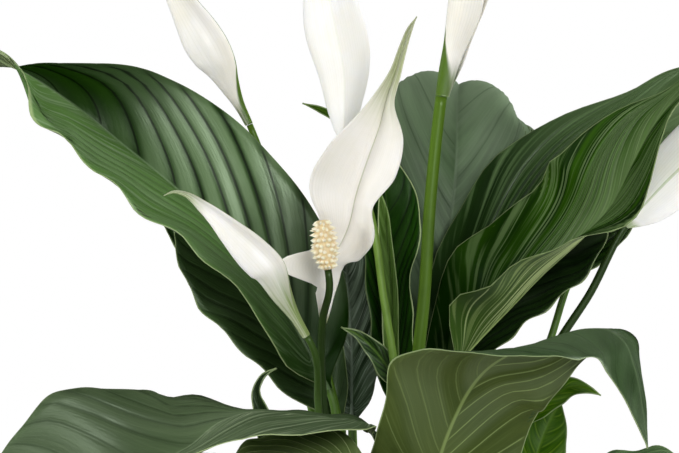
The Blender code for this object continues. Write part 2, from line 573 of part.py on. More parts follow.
# Each flower: its stem's foot, the stem's points, its spathe and, where it shows, its spadix.
# The stem of a rolled flower ends at the spathe's foot; another's goes on to the spadix's foot.
FLOWERS = {
    "flower_open": dict(
        root=(-12, 22), radii=(3.2, 2.3), rows=26,
        stem=[(-25, 225, 22), (-33, 285, 26), (-34, 345, 47)],
        spathe=[
            (-34, 341, 42.4, (1.5, 1.5), 0, 0), (-32, 353, 43, (5, 3.5), 8, 20),
            (-30.5, 362, 43, (8, 4.3), 8, 25), (-29.5, 367, 43, (9.5, 4.8), 8, 26),
            (-28.7, 370, 43, (21, 5), 8, 28), (-28.3, 374, 43, (30, 5.8), 7, 30),
            (-28.1, 379, 43.4, (33.5, 7), 6, 33), (-27.9, 382, 43.8, (32, 8.5), 6, 35),
            (-27.6, 384.5, 44.2, (24, 9.5), 8, 37), (-27.2, 386.5, 44.5, (17, 11), 10, 38),
            (-25, 391, 45, (14.5, 14.5), 12, 40), (-22.8, 394.5, 46, (15, 18.5), 14, 40),
            (-19.9, 400, 47.5, (17, 22.5), 16, 44), (-17, 407, 49, (20, 28), 18, 50),
            (-12, 427, 52, (31, 30), 12, 66), (-4, 452, 56, (28, 31), 20, 52),
            (3, 472, 60, (19, 27), 25, 53), (8, 492, 62, (9, 14), 30, 70),
            (13, 507, 63, (4.5, 7), 30, 60), (18, 523, 62, (3, 4), 30, 50),
            (23, 536, 60, (1.8, 2), 30, 40), (27, 543, 59, (0, 0), 30, 40)],
        spadix=((-30.5, 379, 66), (-34.5, 411, 66), 9.5)),
    "flower_left": dict(
        root=(-24, 26), radii=(3.2, 2.2), rows=15,
        stem=[(-34, 225, 31), (-37, 290, 37)],
        spathe=[
            (-43, 336, 56, (6, 6), -90, 90, 165), (-50, 350, 58, (9, 9), -90, 90, 165),
            (-55, 365, 60, (16, 18), -90, 90, 165), (-60, 384, 62, (29, 32), -90, 90, 165),
            (-73, 398, 63, (28, 31), -90, 90, 165), (-91, 411, 63, (20, 22), -90, 90, 165),
            (-110, 423, 62, (9, 10), -90, 90, 165), (-122, 429, 60, (4, 4), -90, 90, 150),
            (-131, 430, 58, (2, 2), -90, 90, 120), (-137, 427, 56, (0, 0), -90, 90, 90)]),
    "flower_top_left": dict(
        root=(-14, -16), radii=(3.2, 2.2), rows=15,
        stem=[(-16, 230, -16), (-26, 290, -20), (-39, 340, -29), (-55, 392, -39)],
        spathe=[
            (-80, 474, -47, (6, 6), -90, 90, 165), (-86, 489, -48, (10, 11), -90, 90, 165),
            (-89, 502, -48, (19, 21), -90, 90, 165), (-91, 515, -48, (32, 35), -90, 90, 165),
            (-95, 526, -48, (36, 39), -90, 90, 165), (-103, 539, -48, (35, 38), -90, 90, 165),
            (-114, 552, -48, (28, 31), -90, 90, 165), (-124, 564, -48, (20, 22), -90, 90, 165),
            (-132, 576, -47, (12, 13), -90, 90, 165), (-138, 588, -46, (6, 6), -90, 90, 150),
            (-141, 599, -46, (0, 0), -90, 90, 90)]),
    "flower_top_centre": dict(
        root=(8, 22), radii=(3.2, 2.2), rows=15,
        stem=[(14, 240, 27), (13, 313, 30), (6, 359, 28), (-3, 416, 23), (-17, 458, 17),
              (-20, 474, 12)],
        spathe=[
            (-17, 458, 20.4, (2, 2), 0, 0, -40), (-20, 470, 22, (9, 9), -15, -15, -60),
            (-20, 483, 22, (18, 18), -15, -15, -70), (-20, 505, 22, (28, 27), -15, -15, -70),
            (-24, 528, 22, (31, 31), -15, -15, -70), (-29, 552, 21, (30, 29), -15, -15, -70),
            (-34, 575, 19, (22, 21), -15, -15, -65), (-40, 595, 16, (11, 10), -15, -15, -60),
            (-43, 612, 14, (3, 3), 0, 0, -40), (-46, 622, 13, (0, 0), 0, 0, 0)],
        spadix=((-21, 494, 9), (-25, 524, 8), 8)),
    "flower_tall": dict(
        root=(20, 30), radii=(4.4, 3.7), rows=14,
        stem=[(24, 240, 40), (28, 319, 45), (32, 359, 46), (36, 424, 46)],
        spathe=[
            (40, 492, 45, (11, 11), 90, -90, 165), (42, 508, 45, (15, 17), 90, -90, 165),
            (45, 526, 45, (20, 22), 90, -90, 165), (47, 545, 45, (30, 32), 90, -90, 165),
            (49, 564, 45, (33, 36), 90, -90, 165), (51, 584, 45, (29, 31), 90, -90, 165),
            (55, 601, 45, (19, 20), 90, -90, 165), (58, 616, 45, (8, 9), 90, -90, 150),
            (62, 629, 45, (0, 0), 90, -90, 90)]),
    "flower_right": dict(
        root=(34, -6), radii=(3.4, 2.4), rows=15,
        stem=[(66, 230, -12), (101, 300, -18), (124, 338, -20), (139, 361, -20), (162, 406, -24),
              (170, 417, -28)],
        spathe=[
            (163, 407, -21.1, (2, 2), 0, 0, -40), (175, 421, -20, (14, 21), -15, -10, -60),
            (187, 434, -21, (28, 32), -15, -15, -70), (199, 446, -22, (35, 36), -15, -22, -75),
            (215, 463, -23, (35, 33), -15, -30, -75), (231, 484, -24, (28, 27), -15, -25, -70),
            (243, 504, -25, (15, 14), -15, -20, -60), (252, 522, -26, (5, 5), -10, -10, -40),
            (257, 534, -26, (0, 0), 0, 0, 0)],
        spadix=((183, 431, -35), (202, 454, -41), 7)),
}

COLOURS = {
    "leaf": ((0.045, 0.11, 0.035), 0.42),
    "leaf_shade": ((0.02, 0.06, 0.025), 0.42),
    "leaf_young": ((0.12, 0.3, 0.04), 0.45),
    "stem": ((0.14, 0.26, 0.04), 0.5),
    "spathe": ((0.82, 0.8, 0.72), 0.55),
    "spadix": ((0.78, 0.66, 0.4), 0.7),
    "soil": ((0.035, 0.022, 0.014), 0.95),
    "pot": ((0.52, 0.22, 0.12), 0.8),
}


def own_material(name, kind):
    colour, roughness = COLOURS[kind]
    return plain_material(f"{name}_{kind}", colour, roughness)


def add_leaves():
    for name, given in LEAVES.items():
        shape = dict(given)
        sideways = shape.pop("sideways", None)
        if sideways is not None:
            sideways = np.array(sideways, float)
        kind = shape.pop("colour")
        leaf(name, material=own_material(name, kind), sideways=sideways, **shape)


def add_flowers():
    for name, given in FLOWERS.items():
        end, ahead = spathe(
            f"{name}_spathe", given["spathe"], given["rows"], own_material(name, "spathe"))
        if "spadix" in given:
            foot, tip, radius = given["spadix"]
            end, tip = sighted(*foot), sighted(*tip)
            ahead = unit(tip - end)
            spadix(f"{name}_spadix", end, tip, radius, own_material(name, "spadix"))
        points = root_points(given["root"]) + [sighted(*p) for p in given["stem"]]
        points += [end - ahead * STRAIGHT_END, end - ahead * GAP]
        stem(f"{name}_stem", points, given["radii"], own_material(name, "stem"))


def all_stalks():
    """Every stalk in the soil as (across, toward, radius)."""
    stalks = [(*given["root"], FOOT_RADIUS) for given in LEAVES.values()]
    return stalks + [(*given["root"], given["radii"][0]) for given in FLOWERS.values()]


def main():
    clear_scene()
    add_leaves()
    add_flowers()
    soil(all_stalks(), own_material("soil", "soil"))
    pot(own_material("pot", "pot"))


main()
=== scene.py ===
"""The dressed potted peace lily: fine leaves, flowers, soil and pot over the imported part.

Sizes are in millimetres and become metres where a mesh is made. A place on the plant is
(across, up, toward): across and up as an eye in front sees them in the plant's own upright
plane, and toward is how far the place stands in front of that plane. sighted() finds the
real point.
"""

import math
import random

import bpy
import numpy as np
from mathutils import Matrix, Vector, noise


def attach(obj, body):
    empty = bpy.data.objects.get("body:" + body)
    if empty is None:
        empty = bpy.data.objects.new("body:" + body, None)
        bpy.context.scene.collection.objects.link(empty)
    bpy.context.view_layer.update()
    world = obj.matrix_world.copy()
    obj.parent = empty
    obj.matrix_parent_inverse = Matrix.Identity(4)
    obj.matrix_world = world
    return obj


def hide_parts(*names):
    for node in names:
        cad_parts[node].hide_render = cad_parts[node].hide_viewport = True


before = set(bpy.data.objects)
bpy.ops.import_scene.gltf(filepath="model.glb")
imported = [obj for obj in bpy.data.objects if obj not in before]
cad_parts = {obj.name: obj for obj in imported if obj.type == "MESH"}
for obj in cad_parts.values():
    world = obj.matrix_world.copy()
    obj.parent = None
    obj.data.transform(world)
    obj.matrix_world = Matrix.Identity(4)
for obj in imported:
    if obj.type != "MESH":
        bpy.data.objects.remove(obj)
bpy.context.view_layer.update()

MM = 0.001

# The eye that sees the plant from the front, and the camera in its place
EYE_DISTANCE = 1594
EYE_ACROSS = -23
EYE_UP = 546
CAMERA_UP = 546.4
CAMERA_TILT = 85
LENS = 130.5
SENSOR = 36

# Pot and soil
POT_HEIGHT = 150
POT_TOP_RADIUS = 85
POT_FOOT_RADIUS = 60
POT_WALL = 5
POT_SIDES = 144
POT_ROUNDING = 2.2
RIM_HEIGHT = 26
RIM_PROUD = 4
FLOOR_THICK = 8
SOIL_TOP = 138
SOIL_DOME = 5
SOIL_SIDES = 240
SOIL_RINGS = 70
SOIL_LUMPS = 1.1
SOIL_GRAIN = 0.9
AXIS_RADIUS = 0.5
CRUMBS = 620
CRUMB_SEED = 7
CRUMB_CLEARANCE = 2
CRUMB_SIDES = 6
CRUMB_SIZES = (0.9, 1.2, 1.6, 2.3)
GAP = 0.3

# How finely a middle line is sampled, and over how many mm the directions across it are softened
ROUTE_SAMPLES = 500
SOFTENING = 12

# Stalks and stems
FOOT_RADIUS = 3.6
NECK_RADIUS = 2.5
ROOT_DEPTH = 30
ROOT_POINTS = 3
STRAIGHT_END = 7
STALK_ROWS = 26
STEM_ROWS = 60
STEM_COLUMNS = 13

# The blades of leaves and spathes
BLADE_THICK = 0.9
SPATHE_THICK = 0.8
TIP_WIDTH = 0.35
FOLD_STEPS = 8
MIDRIB_BLEND = 0.05

# A leaf's veins and midrib, and the rows in which its blade opens from its round foot
VEIN_ROWS = 8
VEIN_CROWDING = 1.6
VEIN_LEVEL = 0.62
KEEL_WIDTH = 1.7
GROOVE_WIDTH = 1.4
GROOVE_DEPTH = 0.35
OPENING = 1.6

# Spathes and spadices
SPATHE_ROWS = 110
SPATHE_HALVES = 16
SPATHE_VEINS = 16
SPATHE_WAVE = 0.6
SPADIX_FOOT = 0.1
SPADIX_SPAN = 0.83
SPADIX_PLUMP = 0.55
SPADIX_ROWS = 9
SPADIX_AROUND = 12
BUMP_ROWS = 12
BUMP_COLUMNS = 14
BUMP_SHARE = 0.3

# Floor and lights; the place that the lights aim at is in metres
FLOOR_RADIUS = 1100
FLOOR_SIDES = 96
LIGHT_AIM = (0, 0, 0.35)
SOFT_LIGHT = 0.14


def sighted(across, up, toward):
    """The real point, in mm, that the eye sees at (across, up) and that lies this far toward it."""
    share = toward / EYE_DISTANCE
    return np.array([
        across + (EYE_ACROSS - across) * share,
        -toward,
        up + (EYE_UP - up) * share,
    ])


def unit(vector):
    return vector / np.linalg.norm(vector)


def smoothstep(x):
    x = np.clip(x, 0.0, 1.0)
    return x * x * (3 - 2 * x)


def bulge(along, power):
    """1 in the middle of a length and 0 at its two ends."""
    return np.sin(np.pi * np.clip(along, 0, 1)) ** power


def flowing(knots, values):
    """A function that reads a smooth curve through the values at the knots."""
    knots = np.asarray(knots, float)
    values = np.asarray(values, float)
    steps = np.diff(knots)
    slopes = np.diff(values, axis=0) / steps.reshape(-1, *[1] * (values.ndim - 1))
    tangents = np.empty_like(values)
    tangents[0], tangents[-1] = slopes[0], slopes[-1]
    for i in range(1, len(knots) - 1):
        before, after = steps[i - 1], steps[i]
        tangents[i] = (slopes[i - 1] * after + slopes[i] * before) / (before + after)

    def read(at):
        i = int(np.clip(np.searchsorted(knots, at) - 1, 0, len(steps) - 1))
        s = (at - knots[i]) / steps[i]
        rise, run = values[i + 1] - values[i], steps[i]
        return (values[i] + rise * (3 - 2 * s) * s * s
                + tangents[i] * run * s * (1 - s) ** 2 - tangents[i + 1] * run * s * s * (1 - s))

    return read


def softened(columns, reach):
    """Each column's running mean over so many samples either way, which rounds its corners."""
    reach = max(int(reach), 1)
    window = np.hanning(2 * reach + 3)[1:-1]
    window = window / window.sum()
    padded = np.pad(columns, ((reach, reach), (0, 0)), mode="edge")
    return np.stack([np.convolve(column, window, mode="valid") for column in padded.T], -1)


class Route:
    """The middle line of a leaf, spathe or stem, with the directions across it at each place."""

    def __init__(self, points, sideways=None):
        points = np.asarray(points, float)
        lengths = np.linalg.norm(np.diff(points, axis=0), axis=1)
        self.knots = np.concatenate([[0], np.cumsum(lengths)])
        self.length = self.knots[-1]
        self.read = flowing(self.knots, points)
        self.sideways = None if sideways is None else np.array(sideways, float)
        self.eye = sighted(EYE_ACROSS, EYE_UP, EYE_DISTANCE)
        self.places = np.linspace(0, self.length, ROUTE_SAMPLES)
        self.frames = np.array([np.concatenate(self.frame(place)) for place in self.places])
        self.frames[:, 3:] = softened(self.frames[:, 3:], ROUTE_SAMPLES * SOFTENING / self.length)

    def frame(self, place):
        """Middle point, the way along, the way to the right and the way to the eye's side."""
        middle = self.read(place)
        ahead = unit(self.read(min(place + 1, self.length)) - self.read(max(place - 1, 0)))
        if self.sideways is None:
            right = np.cross(ahead, unit(self.eye - middle))
        else:
            right = self.sideways - ahead * np.dot(self.sideways, ahead)
        right = unit(right)
        return middle, ahead, right, np.cross(right, ahead)

    def at(self, places):
        """The same four at each of an array of places."""
        read = np.stack([np.interp(places, self.places, column) for column in self.frames.T], -1)
        return read[..., 0:3], read[..., 3:6], read[..., 6:9], read[..., 9:12]


def full_stations(stations, fold=()):
    """Stations as (across, up, toward, left width, right width, left turn, right turn, curl).

    Where a station ends after its width, fold gives its turns and curl.
    """
    full = []
    for across, up, toward, width, *turns in stations:
        widths = width if isinstance(width, tuple) else (width, width)
        full.append((across, up, toward, *widths, *(turns or fold), 0)[:8])
    return full


class Blade:
    """A leaf's or spathe's thin blade, read at arrays of places between foot, tip and margins."""

    def __init__(self, route, stations, face, thick, wave, waves):
        self.route, self.face, self.thick = route, face, thick
        self.wave, self.waves = wave, waves
        knots = route.knots[-len(stations):]
        self.start = knots[0]
        self.span = route.length - self.start
        shape = flowing(knots, [station[3:] for station in stations])
        self.places = np.linspace(self.start, route.length, ROUTE_SAMPLES)
        self.shapes = np.array([shape(place) for place in self.places])

    def shape(self, along):
        """Left width, right width, left turn, right turn and curl at shares of the length."""
        place = self.start + self.span * along
        return [np.interp(place, self.places, column) for column in self.shapes.T]

    def faces(self, along, side, relief=0.0, groove=0.0, keel=0.0):
        """Upper and lower points at these shares of the blade's length and of its half width."""
        share = np.abs(side)
        along = np.minimum(along, 1.0)
        middle, _, right, front = self.route.at(self.start + self.span * along)
        left_width, right_width, left_turn, right_turn, curl = self.shape(along)
        sign = np.where(side < 0, -1.0, 1.0)
        width = np.maximum(np.where(side < 0, left_width, right_width), TIP_WIDTH)
        turn = np.where(side < 0, left_turn, right_turn)
        offset = 0.0
        for step in range(FOLD_STEPS):
            angle = np.radians(turn + curl * share * (step + 0.5) / FOLD_STEPS)
            offset = offset + ((sign * np.cos(angle))[..., None] * right
                               + np.sin(angle)[..., None] * front)
        offset = offset * (width * share / FOLD_STEPS)[..., None]
        angle = np.radians(turn + curl * share)
        level = np.radians((right_turn - left_turn) / 2)
        margin_way = (-sign * np.sin(angle))[..., None] * right + np.cos(angle)[..., None] * front
        midrib_way = np.cos(level)[..., None] * front - np.sin(level)[..., None] * right
        blend = smoothstep(share / MIDRIB_BLEND)[..., None]
        facing = midrib_way * (1 - blend) + margin_way * blend
        ripple = self.wave * bulge(along, 0.5) * share ** 2 * np.sin(
            2 * np.pi * self.waves * along + sign * 1.1)
        half = self.thick / 2 * (1 - 0.4 * share ** 8)
        centre = middle + offset + facing * (ripple + self.face * relief)[..., None]
        upward = self.face * facing
        return centre + upward * (half - groove)[..., None], centre - upward * (half + keel)[..., None]


def folded(upper, lower):
    """A grid's upper values and then its lower ones backwards, so that each row is a ring."""
    return np.concatenate([upper, lower[:, ::-1]], axis=1)


def round_rings(route, places, radii, face, columns):
    """Rings round a stalk, with their points in the same order as a blade's."""
    turns = [math.pi * (1 - (j + 0.5) / (columns + 1)) for j in range(columns + 1)]
    turns += [-turn for turn in reversed(turns)]
    middle, _, right, front = (part[:, None, :] for part in route.at(np.asarray(places)))
    reach = np.cos(turns)[None, :, None] * right + face * np.sin(turns)[None, :, None] * front
    return middle + np.asarray(radii)[:, None, None] * reach


def stalk_grid(shares, count):
    """How far along a stalk and how far round it each of its points lies."""
    return np.meshgrid(shares, np.linspace(0, 1, count), indexing="ij")


def root_points(root):
    """The lowest points of a stalk, upright in the soil."""
    across, toward = root
    heights = (SOIL_TOP - ROOT_DEPTH, SOIL_TOP - 4, SOIL_TOP + SOIL_DOME + 2)
    return [np.array([across, -toward, up]) for up in heights]


def add_mesh(name, points, faces, materials, face_materials=None, layers=None):
    """A smooth object. layers holds one (x, y) for each point."""
    mesh = bpy.data.meshes.new(name)
    mesh.from_pydata((np.asarray(points).reshape(-1, 3) * MM).tolist(), [], faces)
    for material in materials:
        mesh.materials.append(material)
    if face_materials is not None:
        mesh.polygons.foreach_set("material_index", np.asarray(face_materials, np.int32))
    corners = np.empty(len(mesh.loops), np.int32)
    mesh.loops.foreach_get("vertex_index", corners)
    for layer, values in (layers or {}).items():
        values = np.stack(values, -1).reshape(-1, 2).astype(np.float32)
        mesh.uv_layers.new(name=layer).data.foreach_set("uv", values[corners].ravel())
    mesh.shade_smooth()
    piece = bpy.data.objects.new(name, mesh)
    bpy.context.scene.collection.objects.link(piece)
    return piece


def ring_faces(rings, count):
    """Quads between rings of as many points each, and the fans that close the two ends."""
    faces = []
    for i in range(rings - 1):
        near, far = i * count, (i + 1) * count
        for j in range(count):
            k = (j + 1) % count
            faces.append((near + j, near + k, far + k, far + j))
    return faces + [tuple(range(count)), tuple(range((rings - 1) * count, rings * count))]


def add_piece(node, slot_name, points, faces, materials, face_materials=None, layers=None):
    """A mesh in its CAD node's place."""
    piece = add_mesh(f"{node}_fine", points, faces, materials, face_materials, layers)
    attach(piece, "root")
    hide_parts(node)


class Look:
    """A Principled material whose nodes are added with short calls."""

    def __init__(self, name, roughness=0.5, specular=0.5, gloss=(1.0, 1.0, 1.0)):
        self.material = bpy.data.materials.new(name)
        self.material.use_nodes = True
        self.tree = self.material.node_tree
        self.shader = self.tree.nodes["Principled BSDF"]
        self.give("Roughness", roughness)
        self.give("Specular IOR Level", specular)
        self.give("Specular Tint", gloss)

    def add(self, kind, **settings):
        node = self.tree.nodes.new(kind)
        for key, value in settings.items():
            setattr(node, key, value)
        return node

    def put(self, value, socket):
        """Links a socket, or sets a plain number or colour."""
        if isinstance(value, bpy.types.NodeSocket):
            self.tree.links.new(value, socket)
        elif isinstance(value, tuple) and len(value) == 3 and len(socket.default_value) == 4:
            socket.default_value = (*value, 1.0)
        else:
            socket.default_value = value

    def give(self, name, value):
        self.put(value, self.shader.inputs[name])

    def math(self, operation, a, b=0.0, clamp=False):
        node = self.add("ShaderNodeMath", operation=operation, use_clamp=clamp)
        self.put(a, node.inputs[0])
        self.put(b, node.inputs[1])
        return node.outputs[0]

    def plus(self, a, b, clamp=False):
        return self.math("ADD", a, b, clamp)

    def times(self, a, b, clamp=False):
        return self.math("MULTIPLY", a, b, clamp)

    def parts(self, vector):
        """A vector's x, y and z."""
        node = self.add("ShaderNodeSeparateXYZ")
        self.put(vector, node.inputs[0])
        return node.outputs

    def layer(self, name):
        """The two numbers that the mesh holds in one of its named layers."""
        return self.parts(self.add("ShaderNodeUVMap", uv_map=name).outputs[0])[:2]

    def vector(self, x, y, z=0.0):
        node = self.add("ShaderNodeCombineXYZ")
        for value, socket in zip((x, y, z), node.inputs):
            self.put(value, socket)
        return node.outputs[0]

    def ramp(self, value, low, high, out_low=0.0, out_high=1.0):
        """A smooth step from low to high."""
        node = self.add("ShaderNodeMapRange", interpolation_type="SMOOTHSTEP")
        for number, socket in zip((value, low, high, out_low, out_high), node.inputs):
            self.put(number, socket)
        return node.outputs[0]

    def noise(self, where, scale, detail=3.0, rough=0.5):
        node = self.add("ShaderNodeTexNoise")
        self.put(where, node.inputs["Vector"])
        node.inputs["Scale"].default_value = scale
        node.inputs["Detail"].default_value = detail
        node.inputs["Roughness"].default_value = rough
        return node.outputs[0]

    def streaks(self, first, second, scales, seed, detail, rough=0.5):
        """Noise that is drawn out along a surface's own two directions."""
        where = self.vector(self.times(first, scales[0]), self.times(second, scales[1]), seed)
        return self.noise(where, 1.0, detail, rough)

    def place(self):
        return self.add("ShaderNodeTexCoord").outputs["Object"]

    def mix(self, share, first, second):
        node = self.add("ShaderNodeMix", data_type="RGBA")
        self.put(share, node.inputs[0])
        self.put(first, node.inputs[6])
        self.put(second, node.inputs[7])
        return node.outputs[2]

    def line(self, value, width):
        """1 on each whole number and 0 further than width from it."""
        return self.ramp(self.math("PINGPONG", value, 0.5), width * 0.35, width, 1.0, 0.0)

    def strip(self, value, apart, width):
        """1 on each whole number and 0 further than width from it, where whole numbers lie apart."""
        away = self.times(self.math("PINGPONG", value, 0.5), apart)
        return self.ramp(away, width * 0.3, width, 1.0, 0.0)

    def by_side(self, side, value):
        """One number, or one for a blade's left half and one for its right."""
        return self.ramp(side, -0.03, 0.03, *value) if isinstance(value, tuple) else value

    def bump(self, height, distance):
        node = self.add("ShaderNodeBump")
        node.inputs["Strength"].default_value = 1.0
        node.inputs["Distance"].default_value = distance * MM
        self.put(height, node.inputs["Height"])
        self.give("Normal", node.outputs[0])

    def translucent(self, weight, radius, scale):
        self.give("Subsurface Weight", weight)
        self.give("Subsurface Radius", radius)
        self.give("Subsurface Scale", scale * MM)


def srgb(red, green, blue):
    """A colour from its 0 to 255 screen values."""
    return tuple(((c / 255 + 0.055) / 1.055) ** 2.4 if c > 10 else c / 255 / 12.92
                 for c in (red, green, blue))


def leaf_look(name, seed, tone, style):
    """A blade's face: streaks and lines that follow the veins, painted shade, light and sheen, the midrib,
    a thin pale rim.
    """
    look = Look(name, tone["rough"], tone["shine"], GREEN_GLOSS)
    plus, times, ramp, mix = look.plus, look.times, look.ramp, look.mix
    dark, vein = tone["dark"], tone["vein"]
    phase, share = look.layer("veins")
    along, side = look.layer("blade")
    from_rib, from_rim = look.layer("span")
    apart, _ = look.layer("gap")
    style = {key: look.by_side(side, value) for key, value in style.items()}
    shifted = plus(phase, seed)
    within = look.math("FRACT", phase)
    patch = look.noise(look.place(), 20.0, 3.0)

    # The face's two greens in streaks and patches, with painted shade across each panel between two veins:
    # lighter in its middle, darker next to the veins
    streak = look.streaks(shifted, share, (2.1, 1.2), seed, 3.0, 0.6)
    tint = plus(times(ramp(streak, 0.34, 0.68, -0.5, 0.5), style["streak"]),
                ramp(patch, 0.3, 0.75, 0.25, 0.65))
    painted_panel_shade = times(ramp(within, 0.04, 0.32), ramp(within, 0.4, 0.97, 1.0, 0.0))
    painted_panel_shade = times(look.math("SUBTRACT", painted_panel_shade, 0.45), style["painted_panel_shade"])
    colour = mix(plus(tint, painted_panel_shade, clamp=True), dark, tone["light"])
    # Painted light: the face, or one half of it, drawn towards a paler green so that it looks more lit
    colour = mix(style["painted_light_wash"], colour, tone["painted_light_wash"])

    # Pale bands, a pale spine, and a painted sheen, a highlight painted into the colour, on the panels of
    # the blade's lower half
    band = look.streaks(shifted, share, (0.45, 0.5), seed + 3, 1.0)
    colour = mix(ramp(band, 0.45, 0.62, 0.0, style["band"]), colour, vein)
    colour = mix(ramp(from_rib, 1.0, 16.0, style["spine"], 0.0), colour, vein)
    crest = times(ramp(within, 0.06, 0.36), ramp(within, 0.7, 0.98, 1.0, 0.0))
    sheen = times(crest, ramp(patch, 0.3, 0.6, 0.5, 1.0))
    colour = mix(times(ramp(along, 0.5, 0.74, style["sheen"], 0.0), sheen), colour, vein)

    # Painted shade on the foot, where all lines are faint, and the tip drawn towards another of the tone's
    # colours
    foot = ramp(along, 0.05, style["shaded"], style["foot"], 0.0)
    faint = ramp(foot, 0.0, 1.0, 1.0, 0.3)
    colour = mix(foot, colour, dark)
    colour = mix(ramp(along, 0.45, 0.85, 0.0, style["tip"]), colour, tone[style["tip_to"]])

    # Fibres, lateral veins, midrib and rim. The lateral veins take the tone's line colour, which on most
    # upper faces is dark, painted shade in the veins' grooves, and are pale veins where pale is 1
    fibre = look.streaks(shifted, share, (9.0, 1.6), seed, 2.0)
    colour = mix(times(ramp(fibre, 0.5, 0.66, 0.0, style["fibre"]), faint), colour, vein)
    inside = times(ramp(from_rib, 0.3, 3.0), ramp(from_rim, 0.5, 4.0))
    main = times(look.strip(phase, apart, style["width"]), inside)
    colour = mix(times(main, times(style["main"], faint)), colour,
                 mix(style["pale"], tone["line"], vein))
    colour = mix(ramp(from_rib, 0.5, 1.6, style["rib"], 0.0), colour, vein)
    colour = mix(times(ramp(from_rim, 0.25, 0.8, 1.0, 0.0), style["rim"]), colour, EDGE)
    look.give("Base Color", colour)

    # Gloss, and the bumps of the surface
    grain = look.noise(look.place(), 900.0, 2.0)
    rough = plus(ramp(patch, 0.3, 0.7, tone["rough"] - 0.05, tone["rough"] + 0.07), times(main, 0.2))
    look.give("Roughness", plus(rough, times(grain, 0.06)))
    shine = times(ramp(along, 0.1, 0.45, 0.3, 1.0),
                  ramp(along, 0.5, 0.8, tone["shine"], tone["shine"] * style["tip_shine"]))
    look.give("Specular IOR Level", times(shine, ramp(band, 0.42, 0.6, 0.3, 1.4)))
    wave = look.math("SINE", times(shifted, 6 * math.tau))
    pebble = look.streaks(shifted, share, (13.0, 16.0), seed, 3.0, 0.6)
    height = plus(times(wave, times(inside, style["ripple"])), times(grain, 0.3))
    look.bump(plus(height, times(pebble, style["pebble"])), 0.13)
    return look.material


def stalk_look(name, seed, low, high):
    """A green stalk with fine lines along it."""
    look = Look(name, 0.42, 0.15, GREEN_GLOSS)
    along, around = look.layer("blade")
    streak = look.streaks(around, along, (9.0, 2.0), seed, 4.0, 0.6)
    blotch = look.noise(look.place(), 40.0, 3.0)
    colour = look.mix(look.ramp(along, 0.0, 0.9), low, high)
    colour = look.mix(look.ramp(streak, 0.35, 0.7, 0.0, 0.45), colour,
                      tuple(min(1.0, c * 1.5 + 0.01) for c in high))
    look.give("Base Color", look.mix(look.ramp(blotch, 0.45, 0.75, 0.0, 0.3), colour, low))
    look.give("Roughness", look.ramp(blotch, 0.3, 0.7, 0.36, 0.52))
    look.bump(look.plus(streak, look.times(look.noise(look.place(), 700.0), 0.3)), 0.2)
    return look.material


def spathe_look(name, seed, white, cream, green, foot, tip, wedge, midrib):
    """A white bract with fine veins: green at its foot and tip, and a green wedge at its midrib."""
    look = Look(name, 0.5)
    ramp, mix = look.ramp, look.mix
    along, side = look.layer("blade")
    share = look.math("ABSOLUTE", side)
    veins = look.times(side, SPATHE_VEINS)
    streak = look.streaks(side, along, (7.0, 1.6), seed, 4.0, 0.6)
    patch = look.noise(look.place(), 30.0, 3.0)
    colour = mix(ramp(patch, 0.35, 0.7), white, cream)
    colour = mix(look.times(look.line(veins, 0.2), 0.05), colour, green)
    colour = mix(ramp(streak, 0.45, 0.8, 0.0, 0.07), colour, green)
    at_foot = ramp(along, foot * 0.3, foot, 1.0, 0.0)
    at_tip = ramp(along, tip, tip + (1 - tip) * 0.6)
    broken = ramp(streak, 0.3, 0.75, 0.55, 1.1)
    colour = mix(look.times(look.math("MAXIMUM", at_foot, at_tip), broken, clamp=True), colour, green)
    beside = look.math("DIVIDE", share, ramp(along, 0.0, 0.34, wedge, 0.028))
    look.give("Base Color", mix(ramp(beside, 0.75, 1.1, midrib, 0.0), colour, green))
    look.give("Roughness", ramp(patch, 0.3, 0.7, 0.42, 0.58))
    look.translucent(0.25, (1.0, 0.9, 0.7), 1.2)
    wave = look.math("SINE", look.times(veins, math.tau))
    look.bump(look.plus(look.times(wave, 0.25), streak), 0.1)
    return look.material


def spadix_look(name):
    look = Look(name, 0.6)
    proud, _ = look.layer("bumps")
    patch = look.noise(look.place(), 260.0, 2.0)
    # Painted shade: a darker tan in the hollows between the bumps, a paler cream on their peaks
    colour = look.mix(look.ramp(proud, 0.0, 0.6), srgb(228, 207, 160), srgb(252, 246, 222))
    look.give("Base Color", look.mix(look.ramp(patch, 0.5, 0.75, 0.0, 0.4), colour, srgb(238, 222, 182)))
    look.translucent(0.3, (1.0, 0.8, 0.5), 0.8)
    look.bump(look.noise(look.place(), 1600.0, 2.0), 0.15)
    return look.material


def soil_look(name):
    look = Look(name, 0.95, 0.2)
    fine = look.noise(look.place(), 420.0, 5.0, 0.7)
    broad = look.noise(look.place(), 60.0, 3.0)
    colour = look.mix(look.ramp(fine, 0.35, 0.7), srgb(38, 27, 20), srgb(92, 70, 50))
    look.give("Base Color", look.mix(look.ramp(broad, 0.4, 0.7, 0.0, 0.5), colour, srgb(56, 42, 32)))
    look.bump(fine, 1.2)
    return look.material


def pot_look(name):
    """Fired clay: blotches, pale bloom, fine pits and the faint rings of its turning."""
    look = Look(name, 0.82, 0.3)
    place = look.place()
    broad = look.noise(place, 18.0, 5.0, 0.6)
    grain = look.noise(place, 520.0, 4.0, 0.65)
    rings = look.noise(look.vector(0.0, 0.0, look.parts(place)[2]), 420.0, 2.0)
    colour = look.mix(look.ramp(broad, 0.3, 0.7), srgb(176, 104, 72), srgb(201, 131, 96))
    colour = look.mix(look.ramp(grain, 0.52, 0.72, 0.0, 0.4), colour, srgb(150, 84, 58))
    bloom = look.ramp(look.noise(place, 46.0, 6.0, 0.7), 0.56, 0.74, 0.0, 0.32)
    look.give("Base Color", look.mix(bloom, colour, srgb(224, 190, 166)))
    look.give("Roughness", look.ramp(broad, 0.3, 0.7, 0.74, 0.9))
    look.bump(look.plus(grain, look.times(rings, 0.8)), 0.35)
    return look.material


